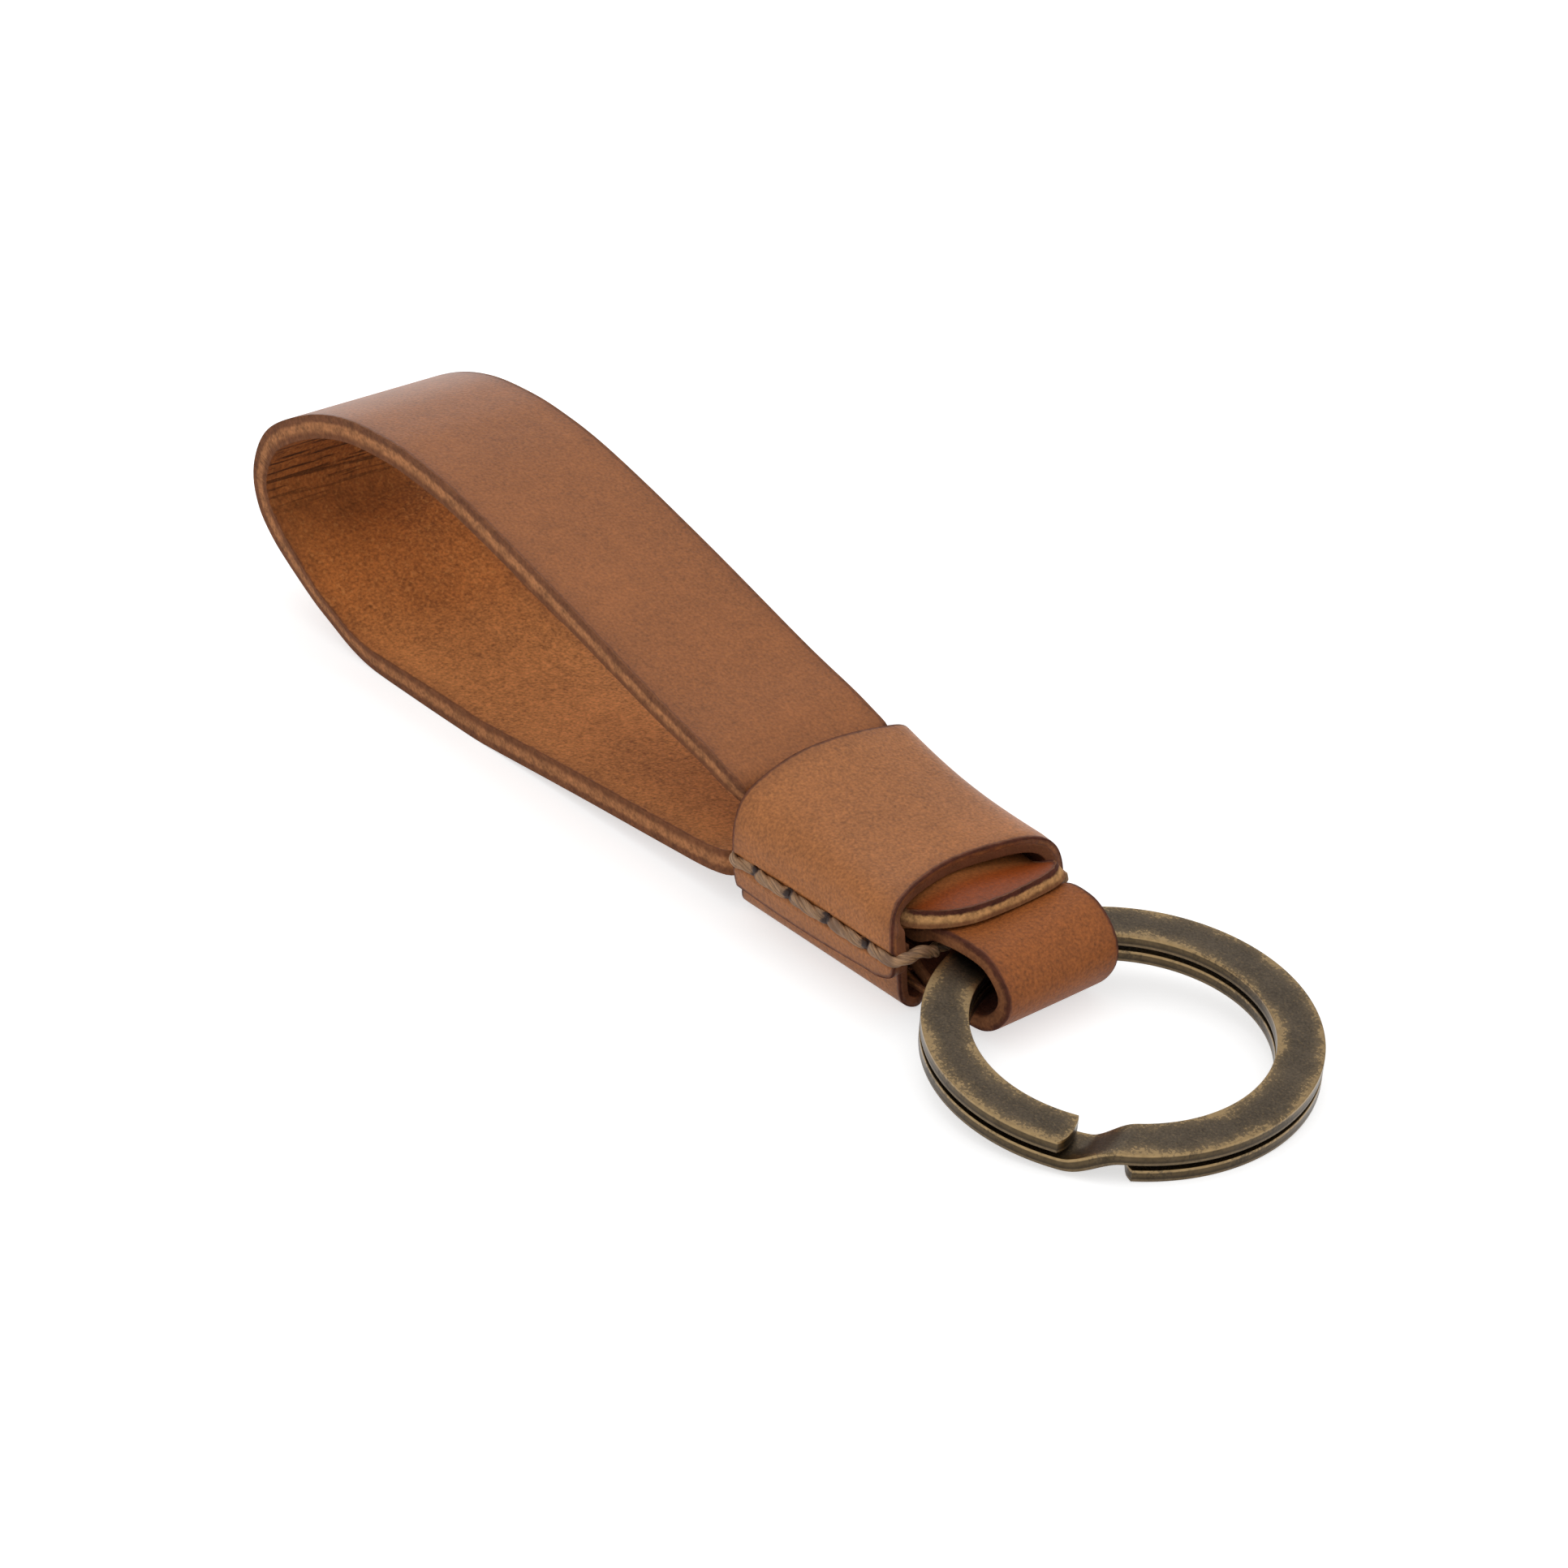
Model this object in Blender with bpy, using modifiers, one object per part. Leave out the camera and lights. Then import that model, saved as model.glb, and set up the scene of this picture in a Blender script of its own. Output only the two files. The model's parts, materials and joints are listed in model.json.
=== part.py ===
"""A leather keychain: a folded strap, a small ring loop, a stitched wrap, its thread and a split ring.

X runs from the strap's loop to the ring, Y across the strap and Z up. The pieces are laid out from
the mouth of the wrap at X zero and the table at Z zero, and then centred on their common box.
"""

from math import cos, pi, radians, sin, sqrt

import bmesh
import bpy
from mathutils import Euler, Vector

MM = 0.001

# Fits
LEATHER_GAP = 0.2 * MM
THREAD_GAP = 0.25 * MM
CUT_OVERRUN = 3.0 * MM

# Strap, a long strip folded back on itself
STRAP_WIDTH = 16.4 * MM
STRAP_THICKNESS = 2.2 * MM
STRAP_EDGE = 0.3 * MM
LOOP_LENGTH = 73.8 * MM
LOOP_HEIGHT = 24.3 * MM
SKIVED_THICKNESS = 1.65 * MM
ENTRY_CROWN = 1.55 * MM
MOUTH_CROWN = 1.2 * MM
PINCH_LENGTH = 1.4 * MM
UPPER_PINCH = 1.3 * MM
LOWER_PINCH = 2.5 * MM
LOWER_FAR_PINCH = 1.9 * MM
FAR_PINCH = 0.55 * MM
LOWER_FAR_LIFT = 4.0 * MM

# The strap's upper end, a tongue over the ring loop
TONGUE_THICKNESS = 1.45 * MM
TONGUE_REACH = 5.4 * MM
TONGUE_RISE = 0.5 * MM
TONGUE_CROWN = 0.25 * MM
TONGUE_FAR_RISE = 1.2 * MM
TONGUE_NEAR_RADIUS = 5.6 * MM
TONGUE_FAR_RADIUS = 2.2 * MM
TONGUE_ZONE = 9.0 * MM

# The strap's lower end, thinned, with a long near corner
LOWER_END_THICKNESS = 0.7 * MM
LOWER_END_INSET = 0.3 * MM
LOWER_CORNER_REACH = 3.1 * MM
LOWER_CORNER_WIDTH = 0.75 * MM
LOWER_ENTRY_RISE = 3.15 * MM
LOWER_ZONE = 8.0 * MM

# Wrap round all the plies
WRAP_LENGTH = 18.0 * MM
WRAP_THICKNESS = 1.5 * MM
WRAP_START_THICKNESS = 0.9 * MM
WRAP_FLOOR = 0.3 * MM
WRAP_MOUTH_HEIGHT = 10.6 * MM
WRAP_ENTRY_HEIGHT = 13.4 * MM
WRAP_EDGE = 0.3 * MM

# Ring loop, a short strip folded round the ring
RING_LOOP_WIDTH = 12.3 * MM
RING_LOOP_OFFSET = 1.25 * MM
RING_LOOP_THICKNESS = 1.4 * MM
RING_LOOP_EDGE = 0.3 * MM
EYE_LENGTH = 12.3 * MM
EYE_FLOOR = 0.4 * MM
EYE_HEIGHT = 7.4 * MM
EYE_FAR_LIFT = 1.1 * MM
EYE_FAR_SHORTENING = 0.5 * MM
TAIL_LENGTH = 9.5 * MM
FLEX_INSET = 5.3 * MM
FLEX_HEIGHT = 4.3 * MM

# Split ring, two turns of flat wire
RING_OUTER_RADIUS = 16.0 * MM
RING_BAND = 3.83 * MM
RING_WIRE = 1.1 * MM
RING_TURN_GAP = 0.45 * MM
RING_EDGE = 0.3 * MM
RING_INSET = 3.8 * MM
RING_OFFSET = 0.57 * MM
RING_LEAN = radians(6.18)
RING_ROLL = radians(1.91)
RING_START = radians(-57.0)
CRANK_START = radians(-399.0)
CRANK_END = radians(-415.0)
RING_END = radians(-760.0)
RING_STEP = radians(4.5)
CRANK_STEP = radians(2.0)

# Thread and its holes
THREAD_DIAMETER = 1.1 * MM
HOLE_DIAMETER = 1.8 * MM
HOLE_SIDES = 12
THREAD_PROUD = 0.1 * MM
STITCH_HEIGHT = 6.3 * MM
STITCH_DIP = 0.45 * MM
CROSSING_INSET = 2.2 * MM
CROSSING_HEIGHT = 4.75 * MM
ENTRY_CROSSING_HEIGHT = 7.4 * MM

# Spacing of the modelled points
STRAP_STEP = 1.9 * MM
RING_LOOP_STEP = 0.8 * MM
THREAD_STEP = 1.1 * MM
WRAP_COLUMNS = 6
WRAP_PIECES = 3
RING_LOOP_ROWS = 4
CORNER_ROWS = 4

# The strap's loop, from the wrap round its far bend and back: length share, height share
LOOP_SHARES = (
    (0.077, 0.530),
    (0.171, 0.605),
    (0.362, 0.783),
    (0.558, 0.946),
    (0.664, 0.996),
    (0.735, 1.000),
    (0.803, 0.978),
    (0.873, 0.910),
    (0.946, 0.788),
    (0.982, 0.679),
    (1.000, 0.529),
    (0.992, 0.412),
    (0.975, 0.344),
    (0.948, 0.271),
    (0.883, 0.140),
    (0.842, 0.083),
    (0.800, 0.031),
    (0.762, 0.005),
    (0.725, 0.000),
    (0.685, 0.000),
    (0.645, 0.000),
    (0.605, 0.000),
    (0.565, 0.000),
    (0.525, 0.000),
    (0.485, 0.008),
    (0.316, 0.049),
    (0.146, 0.085),
    (0.062, 0.106),
)
# Where the upper ply starts to thin towards the wrap, as a share of the loop's length
SKIVE_SHARE = 0.45
# Where the lower ply's far edge rises highest and where it lies flat again, as shares of that length
LIFT_PEAK_SHARE = 0.85
LIFT_FLAT_SHARE = 0.555

# The ring loop's eye, from the mouth round its bend and back: length share, height share
EYE_SHARES = (
    (0.198, 0.905),
    (0.362, 0.970),
    (0.448, 0.990),
    (0.552, 1.005),
    (0.694, 1.000),
    (0.784, 0.974),
    (0.884, 0.870),
    (0.966, 0.722),
    (1.000, 0.565),
    (0.983, 0.391),
    (0.931, 0.243),
    (0.862, 0.113),
    (0.784, 0.035),
    (0.716, 0.009),
    (0.509, 0.000),
    (0.267, 0.104),
    (0.120, 0.210),
)
# Where the eye's far side starts and ends rising, as shares of its length
LIFT_START_SHARE = 0.25
LIFT_END_SHARE = 0.60

# The wrap's inner start, from its top down: height share, reach past the mouth and inset at the
# entry, both as shares of the wrap's length
START_SHARES = (
    (0.585, 0.150, 0.035),
    (0.460, 0.146, 0.025),
    (0.310, 0.142, -0.005),
)
# The wrap from its near bottom corner round to the flap's edge: across and up at the mouth, across
# and up at the entry, reach past the mouth and inset at the entry
WRAP_SHARES = (
    (-0.755, 0.055, -0.745, 0.040, 0.135, -0.045),
    (-0.600, 0.004, -0.590, 0.004, 0.155, -0.030),
    (-0.200, 0.000, -0.200, 0.000, 0.000, 0.000),
    (0.400, 0.000, 0.400, 0.000, 0.000, 0.000),
    (0.800, 0.040, 0.800, 0.040, 0.000, 0.000),
    (0.980, 0.250, 0.980, 0.230, 0.050, 0.000),
    (1.020, 0.480, 1.030, 0.440, 0.090, 0.000),
    (1.015, 0.700, 1.040, 0.640, 0.090, 0.000),
    (0.930, 0.890, 1.015, 0.795, 0.078, 0.000),
    (0.710, 0.995, 0.915, 0.912, 0.056, 0.000),
    (0.300, 1.015, 0.610, 0.965, 0.022, 0.000),
    (-0.080, 0.995, 0.200, 1.000, 0.000, 0.000),
    (-0.480, 0.968, -0.250, 0.990, 0.040, 0.000),
    (-0.800, 0.935, -0.640, 0.925, 0.115, 0.015),
    (-0.960, 0.845, -0.890, 0.840, 0.180, 0.035),
    (-1.000, 0.680, -1.000, 0.690, 0.205, 0.050),
    (-1.000, 0.560, -1.010, 0.560, 0.218, 0.050),
    (-0.995, 0.440, -0.995, 0.430, 0.214, 0.050),
    (-0.990, 0.385, -0.980, 0.335, 0.178, 0.050),
    (-0.985, 0.340, -0.965, 0.255, 0.085, 0.062),
)
# The far wall's bulge across at the stitches, and the rims' reach there past the mouth
FAR_WALL_SHARE = 1.035
NEAR_RIM_SHARE = 0.222
FAR_RIM_SHARE = 0.098
# How many points of the wrap are at the start's thickness, and over how many it thickens
WRAP_THIN_POINTS = 7
WRAP_THICKENING_POINTS = 2
# Holes along the stitch line, as shares of the wrap's length back from its mouth
HOLE_SHARES = (0.80, 0.55, 0.27, -0.01)

# Colours
STRAP_COLOUR = (0.33, 0.13, 0.055, 1)
WRAP_COLOUR = (0.38, 0.17, 0.07, 1)
RING_LOOP_COLOUR = (0.34, 0.12, 0.05, 1)
BRASS_COLOUR = (0.16, 0.12, 0.07, 1)
THREAD_COLOUR = (0.42, 0.33, 0.2, 1)

# Sizes that follow
STRAP_HALF = STRAP_WIDTH / 2
WRAP_HALF = STRAP_HALF + LEATHER_GAP + WRAP_THICKNESS
WRAP_INSIDE = WRAP_THICKNESS + LEATHER_GAP
UPPER_MOUTH = WRAP_FLOOR + WRAP_MOUTH_HEIGHT - WRAP_INSIDE - SKIVED_THICKNESS / 2
UPPER_ENTRY = WRAP_FLOOR + WRAP_ENTRY_HEIGHT - WRAP_INSIDE - SKIVED_THICKNESS / 2
LOWER_MOUTH = WRAP_FLOOR + WRAP_START_THICKNESS + LEATHER_GAP + LOWER_END_THICKNESS / 2
LOWER_ENTRY = LOWER_ENTRY_RISE + STRAP_THICKNESS / 2
EYE_REACH = EYE_LENGTH - RING_LOOP_THICKNESS / 2
RING_THICKNESS = 2 * RING_WIRE + RING_TURN_GAP
TURN_RISE = (RING_WIRE + RING_TURN_GAP) / 2
THREAD_RADIUS = THREAD_DIAMETER / 2
NEAR_LEVEL = -WRAP_HALF - THREAD_PROUD
FAR_LEVEL = FAR_WALL_SHARE * WRAP_HALF + THREAD_PROUD


def mixed(start, end, share):
    """The value a share of the way from start to end, held at both ends."""
    return start + (end - start) * min(1, max(0, share))


def eased(share):
    """A share that leaves zero and reaches one gently."""
    held = min(1, max(0, share))
    return held * held * (3 - 2 * held)


def spline(points, pieces, closed=False):
    """Points on a smooth curve through the given ones, with a number of pieces for each span."""
    count = len(points)
    line = []
    for index, parts in enumerate(pieces):
        places = [index - 1, index, index + 1, index + 2]
        if closed:
            places = [place % count for place in places]
        a, b, c, d = (Vector(points[min(max(place, 0), count - 1)]) for place in places)
        for part in range(parts):
            t = part / parts
            bend = a * 2 - b * 5 + c * 4 - d
            turn = b * 3 - a - c * 3 + d
            line.append((b * 2 + (c - a) * t + bend * t**2 + turn * t**3) / 2)
    if not closed:
        line.append(Vector(points[-1]))
    return line


def even_pieces(points, step, closed=False):
    """How many pieces of about one step each span between the points takes."""
    ends = points[1:] + points[:1] if closed else points[1:]
    return [max(1, round((Vector(b) - Vector(a)).length / step)) for a, b in zip(points, ends)]


def lengths_along(line):
    """The distance from the line's start to each of its points."""
    lengths = [0.0]
    for a, b in zip(line, line[1:]):
        lengths.append(lengths[-1] + (b - a).length)
    return lengths


def point_at(line, lengths, length):
    """The point of the line at a length from its start."""
    index = 0
    while index < len(line) - 2 and lengths[index + 1] < length:
        index += 1
    share = (length - lengths[index]) / (lengths[index + 1] - lengths[index])
    return line[index].lerp(line[index + 1], share)


def principled(name, colour, roughness, metallic=0.0):
    """A plain material."""
    material = bpy.data.materials.new(name)
    material.use_nodes = True
    shader = material.node_tree.nodes["Principled BSDF"]
    shader.inputs["Base Color"].default_value = colour
    shader.inputs["Roughness"].default_value = roughness
    shader.inputs["Metallic"].default_value = metallic
    return material


def add_object(name, data, collection, material, parent=None):
    """A new object in its collection, with its material and parent."""
    thing = bpy.data.objects.new(name, data)
    collection.objects.link(thing)
    if material:
        data.materials.append(material)
    if parent:
        thing.parent = parent
    return thing


def sheet(name, columns, rows, place, collection, material, parent):
    """A grid whose point at a column and a row lies at place(column, row)."""
    mesh = bpy.data.meshes.new(name)
    bm = bmesh.new()
    bmesh.ops.create_grid(bm, x_segments=columns, y_segments=rows, size=1)
    bm.verts.ensure_lookup_table()
    spots = [
        (round((vert.co.x + 1) / 2 * columns), round((vert.co.y + 1) / 2 * rows))
        for vert in bm.verts
    ]
    for vert, spot in zip(bm.verts, spots):
        vert.co = place(*spot)
    bm.to_mesh(mesh)
    bm.free()
    return add_object(name, mesh, collection, material, parent), spots


def thicken(thing, thickness, offset, edge, shares=None):
    """Makes an open sheet a solid with rounded edges, thinner where the shares say so."""
    solid = thing.modifiers.new("thickness", "SOLIDIFY")
    solid.thickness = thickness
    solid.offset = offset
    solid.use_even_offset = True
    if shares:
        group = thing.vertex_groups.new(name="thickness")
        for index, share in enumerate(shares):
            group.add([index], share, "REPLACE")
        solid.vertex_group = group.name
        solid.thickness_vertex_group = 0.0
    bevel = thing.modifiers.new("edge", "BEVEL")
    bevel.width = edge
    bevel.segments = 2
    bevel.limit_method = "ANGLE"
    bevel.angle_limit = radians(60)
    thing.data.shade_smooth()


def wrapped_share(x):
    """How far a place lies from the wrap's mouth towards its entry."""
    return -x / WRAP_LENGTH


def upper_ply(x):
    """The height, thickness and crown of the strap's upper ply in and past the wrap."""
    inside = wrapped_share(x)
    past = x / TONGUE_REACH
    height = mixed(UPPER_MOUTH, UPPER_ENTRY, inside) + TONGUE_RISE * eased(past)
    thickness = mixed(SKIVED_THICKNESS, TONGUE_THICKNESS, past)
    crown = mixed(mixed(MOUTH_CROWN, ENTRY_CROWN, inside), TONGUE_CROWN, max(0, past) ** 2)
    return height, thickness, crown


def lower_ply(x):
    """The height and thickness of the strap's lower ply in the wrap."""
    inside = wrapped_share(x)
    height = mixed(LOWER_MOUTH, LOWER_ENTRY, inside)
    return height, mixed(LOWER_END_THICKNESS, STRAP_THICKNESS, inside)


def strap_points():
    """The strap's centreline from the tongue round the loop to the lower end."""
    wrapped = [TONGUE_REACH, TONGUE_REACH / 2, 0] + [-WRAP_LENGTH * k / 4 for k in range(1, 5)]
    upper = [(x, 0, upper_ply(x)[0]) for x in wrapped]
    reach = LOOP_LENGTH - STRAP_THICKNESS / 2
    loop = [
        (
            -WRAP_LENGTH - along * reach,
            0,
            STRAP_THICKNESS / 2 + up * (LOOP_HEIGHT - STRAP_THICKNESS),
        )
        for along, up in LOOP_SHARES
    ]
    lower = [(x, 0, lower_ply(x)[0]) for x in reversed(wrapped[2:])]
    corner = (LOWER_CORNER_REACH, 0, LOWER_MOUTH)
    return upper + loop + lower + [corner]


def strap_rows():
    """For each row across the strap: its share of the half width, and its insets at both ends."""
    near = STRAP_HALF - UPPER_PINCH
    far = STRAP_HALF - FAR_PINCH
    full_inset = LOWER_CORNER_REACH + LOWER_END_INSET
    lower_near = STRAP_HALF - LOWER_PINCH
    corner_share = 1 - LOWER_CORNER_WIDTH / lower_near
    rows = []
    for row in range(CORNER_ROWS + 1):
        angle = pi / 2 * row / CORNER_ROWS
        across = near - TONGUE_NEAR_RADIUS * (1 - cos(angle))
        share = -across / near
        rows.append((share, TONGUE_NEAR_RADIUS * (1 - sin(angle))))
    for row in range(CORNER_ROWS, -1, -1):
        angle = pi / 2 * row / CORNER_ROWS
        across = far - TONGUE_FAR_RADIUS * (1 - cos(angle))
        rows.append((across / far, TONGUE_FAR_RADIUS * (1 - sin(angle))))
    return [
        (share, inset, full_inset * eased((share + 1) / (1 - corner_share)))
        for share, inset in rows
    ]


def make_strap(collection, parent):
    """The folded strap."""
    points = strap_points()
    line = spline(points, even_pieces(points, STRAP_STEP))
    lengths = lengths_along(line)
    total = lengths[-1]
    fold = min(range(len(line)), key=lambda index: line[index].x)
    rows = strap_rows()
    peak = -WRAP_LENGTH - LIFT_PEAK_SHARE * LOOP_LENGTH
    flat = -WRAP_LENGTH - LIFT_FLAT_SHARE * LOOP_LENGTH

    def lower_lift(x):
        """How far the lower ply's far edge rises over its near edge."""
        start = line[fold].x if x < peak else flat
        return LOWER_FAR_LIFT * eased((x - start) / (peak - start))

    def station(column):
        """The thickness, crown, near half and far half of a column."""
        x = line[column].x
        pinch = eased(1 + (x + WRAP_LENGTH) / PINCH_LENGTH)
        if column > fold:
            far = STRAP_HALF - LOWER_FAR_PINCH * pinch
            return lower_ply(x)[1], 0.0, STRAP_HALF - LOWER_PINCH * pinch, far
        along = (-WRAP_LENGTH - x) / (SKIVE_SHARE * LOOP_LENGTH)
        thickness = mixed(upper_ply(x)[1], STRAP_THICKNESS, along)
        far = STRAP_HALF - FAR_PINCH * pinch
        return thickness, upper_ply(x)[2] * pinch, STRAP_HALF - UPPER_PINCH * pinch, far

    def place(column, row):
        share, tongue_inset, lower_inset = rows[row]
        length = lengths[column]
        if length < TONGUE_ZONE:
            length = mixed(tongue_inset, TONGUE_ZONE, length / TONGUE_ZONE)
        if total - length < LOWER_ZONE:
            length = total - mixed(lower_inset, LOWER_ZONE, (total - length) / LOWER_ZONE)
        spot = point_at(line, lengths, length)
        thickness, crown, near, far = station(column)
        y = share * (near if share < 0 else far)
        if column > fold:
            lift = lower_lift(spot.x) * (share + 1) / 2
        else:
            lift = TONGUE_FAR_RISE * eased(spot.x / TONGUE_REACH) * max(0, share) ** 2
        return Vector((spot.x, y, spot.z - crown * share**2 + lift))

    material = principled("strap_leather", STRAP_COLOUR, 0.5)
    columns = len(line) - 1
    strap, spots = sheet(
        "strap", columns, len(rows) - 1, place, collection, material, parent
    )
    shares = [station(column)[0] / STRAP_THICKNESS for column, row in spots]
    thicken(strap, STRAP_THICKNESS, 0, STRAP_EDGE, shares)
    return strap


def ring_loop_points():
    """The ring loop's centreline from its upper tail round the eye to its lower tail."""
    tail = [-TAIL_LENGTH, -TAIL_LENGTH / 2, 0]
    half = RING_LOOP_THICKNESS / 2
    upper = []
    lower = []
    for x in tail:
        height, thickness, crown = upper_ply(x)
        upper.append((x, 0, height - thickness / 2 - crown - LEATHER_GAP - half))
        height, thickness = lower_ply(x)
        lower.append((x, 0, height + thickness / 2 + LEATHER_GAP + half))
    floor = EYE_FLOOR + half
    eye = [
        (along * EYE_REACH, 0, floor + up * (EYE_HEIGHT - RING_LOOP_THICKNESS))
        for along, up in EYE_SHARES
    ]
    return upper + eye + lower[::-1]


def make_ring_loop(collection, parent):
    """The small folded strip that holds the ring."""
    points = ring_loop_points()
    line = spline(points, even_pieces(points, RING_LOOP_STEP))
    floor = EYE_FLOOR + RING_LOOP_THICKNESS / 2
    rise = EYE_HEIGHT - RING_LOOP_THICKNESS

    def place(column, row):
        across = row / RING_LOOP_ROWS
        spot = line[column]
        along = spot.x / EYE_REACH
        lifted = eased((along - LIFT_START_SHARE) / (LIFT_END_SHARE - LIFT_START_SHARE))
        up = min(1, max(0, (spot.z - floor) / rise))
        lift = EYE_FAR_LIFT * lifted * up * across**2
        shortening = EYE_FAR_SHORTENING * max(0, along) * across
        y = RING_LOOP_OFFSET + (across - 0.5) * RING_LOOP_WIDTH
        return Vector((spot.x - shortening, y, spot.z + lift))

    material = principled("ring_loop_leather", RING_LOOP_COLOUR, 0.5)
    loop, spots = sheet(
        "ring_loop", len(line) - 1, RING_LOOP_ROWS, place, collection, material, parent
    )
    thicken(loop, RING_LOOP_THICKNESS, 0, RING_LOOP_EDGE)
    return loop


def wrap_outlines():
    """The wrap's outer surface at its mouth and at its entry, as control points."""
    flap_mouth, flap_entry = WRAP_SHARES[-1][0], WRAP_SHARES[-1][2]
    mouth = []
    entry = []
    for up, reach, inset in START_SHARES:
        y = flap_mouth * WRAP_HALF + WRAP_INSIDE
        mouth.append((reach * WRAP_LENGTH, y, WRAP_FLOOR + up * WRAP_MOUTH_HEIGHT))
        y = flap_entry * WRAP_HALF + WRAP_INSIDE
        z = WRAP_FLOOR + up * WRAP_MOUTH_HEIGHT
        entry.append(((inset - 1) * WRAP_LENGTH, y, z))
    for y_mouth, up_mouth, y_entry, up_entry, reach, inset in WRAP_SHARES:
        z = WRAP_FLOOR + up_mouth * WRAP_MOUTH_HEIGHT
        mouth.append((reach * WRAP_LENGTH, y_mouth * WRAP_HALF, z))
        z = WRAP_FLOOR + up_entry * WRAP_ENTRY_HEIGHT
        entry.append(((inset - 1) * WRAP_LENGTH, y_entry * WRAP_HALF, z))
    return mouth, entry


def make_wrap(collection, parent, cutters):
    """The piece wrapped round all the plies, with its stitch holes."""
    mouth, entry = wrap_outlines()
    pieces = [WRAP_PIECES] * (len(mouth) - 1)
    mouth_line = spline(mouth, pieces)
    entry_line = spline(entry, pieces)

    def place(column, row):
        return entry_line[row].lerp(mouth_line[row], column / WRAP_COLUMNS)

    material = principled("wrap_leather", WRAP_COLOUR, 0.5)
    wrap, spots = sheet(
        "wrap", WRAP_COLUMNS, len(mouth_line) - 1, place, collection, material, parent
    )
    thin = WRAP_START_THICKNESS / WRAP_THICKNESS
    shares = [
        mixed(thin, 1, (row / WRAP_PIECES - WRAP_THIN_POINTS) / WRAP_THICKENING_POINTS)
        for column, row in spots
    ]
    thicken(wrap, WRAP_THICKNESS, 1, WRAP_EDGE, shares)
    across = 2 * (WRAP_HALF + CUT_OVERRUN)
    for number, share in enumerate(HOLE_SHARES):
        place = (-share * WRAP_LENGTH, 0, STITCH_HEIGHT)
        turn = (pi / 2, 0, 0)
        cut_round(wrap, f"hole_{number}", HOLE_DIAMETER / 2, across, place, turn, cutters)
    along = WRAP_LENGTH + 2 * (NEAR_RIM_SHARE * WRAP_LENGTH + CUT_OVERRUN)
    for side, level in (("near", NEAR_LEVEL), ("far", FAR_LEVEL)):
        place = (-WRAP_LENGTH / 2, level, STITCH_HEIGHT)
        radius = THREAD_RADIUS + THREAD_GAP
        cut_round(wrap, f"{side}_groove", radius, along, place, (0, pi / 2, 0), cutters)
    return wrap


def cut_round(wrap, name, radius, length, place, turn, cutters):
    """Cuts a round bar's shape out of the wrap."""
    mesh = bpy.data.meshes.new(f"{name}_cutter")
    bm = bmesh.new()
    bmesh.ops.create_cone(
        bm, cap_ends=True, segments=HOLE_SIDES, radius1=radius, radius2=radius, depth=length
    )
    bm.to_mesh(mesh)
    bm.free()
    cutter = add_object(mesh.name, mesh, cutters, None, wrap.parent)
    cutter.location = place
    cutter.rotation_euler = turn
    cutter.display_type = "WIRE"
    cutter.hide_render = True
    cut = wrap.modifiers.new(name, "BOOLEAN")
    cut.operation = "DIFFERENCE"
    cut.object = cutter


def thread_points():
    """The thread's route: along the near side, over at the mouth, back along the far side, over."""
    clear = THREAD_RADIUS + THREAD_GAP
    mouth_reach = NEAR_RIM_SHARE * WRAP_LENGTH + clear
    far_reach = FAR_RIM_SHARE * WRAP_LENGTH + clear
    entry = -WRAP_LENGTH - clear
    start_inside = WRAP_HALF - WRAP_INSIDE - WRAP_START_THICKNESS - clear
    far_inside = WRAP_HALF - WRAP_THICKNESS - clear
    holes = [-share * WRAP_LENGTH for share in HOLE_SHARES]
    gaps = list(zip(holes, holes[1:]))
    half_hole = HOLE_DIAMETER / 2

    def run(level):
        """The stitches of one side from the entry to the mouth."""
        dip = level - STITCH_DIP if level > 0 else level + STITCH_DIP
        first = -WRAP_LENGTH + half_hole
        points = [(mixed(first, holes[0], 0.5), level, STITCH_HEIGHT)]
        for start, end in gaps:
            points.append((start, dip, STITCH_HEIGHT))
            points.append((start + half_hole, level, STITCH_HEIGHT))
            points.append((end - half_hole, level, STITCH_HEIGHT))
        points.append((holes[-1], dip, STITCH_HEIGHT))
        points.append((holes[-1] + half_hole, level, STITCH_HEIGHT))
        return points

    near = run(NEAR_LEVEL)
    near_turn = [
        (mouth_reach - THREAD_DIAMETER, NEAR_LEVEL, STITCH_HEIGHT),
        (mouth_reach, -WRAP_HALF, STITCH_HEIGHT),
        (mouth_reach, -start_inside - THREAD_RADIUS, STITCH_HEIGHT),
        (CROSSING_INSET + THREAD_DIAMETER, -start_inside + THREAD_GAP, STITCH_HEIGHT - THREAD_GAP),
    ]
    mouth_crossing = [
        (CROSSING_INSET, -start_inside + THREAD_DIAMETER, CROSSING_HEIGHT),
        (CROSSING_INSET, 0, CROSSING_HEIGHT),
        (CROSSING_INSET, far_inside - THREAD_DIAMETER, CROSSING_HEIGHT),
        (far_reach, far_inside + clear, CROSSING_HEIGHT),
        (far_reach, WRAP_HALF, STITCH_HEIGHT),
        (far_reach - THREAD_RADIUS, FAR_LEVEL, STITCH_HEIGHT),
    ]
    far = run(FAR_LEVEL)[::-1]
    entry_crossing = [
        (entry + THREAD_RADIUS, FAR_LEVEL, STITCH_HEIGHT),
        (entry, FAR_WALL_SHARE * WRAP_HALF, STITCH_HEIGHT),
        (entry, far_inside, ENTRY_CROSSING_HEIGHT),
        (entry, 0, ENTRY_CROSSING_HEIGHT),
        (entry, -far_inside, ENTRY_CROSSING_HEIGHT),
        (entry, -WRAP_HALF, STITCH_HEIGHT),
    ]
    return near + near_turn + mouth_crossing + far + entry_crossing


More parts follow.
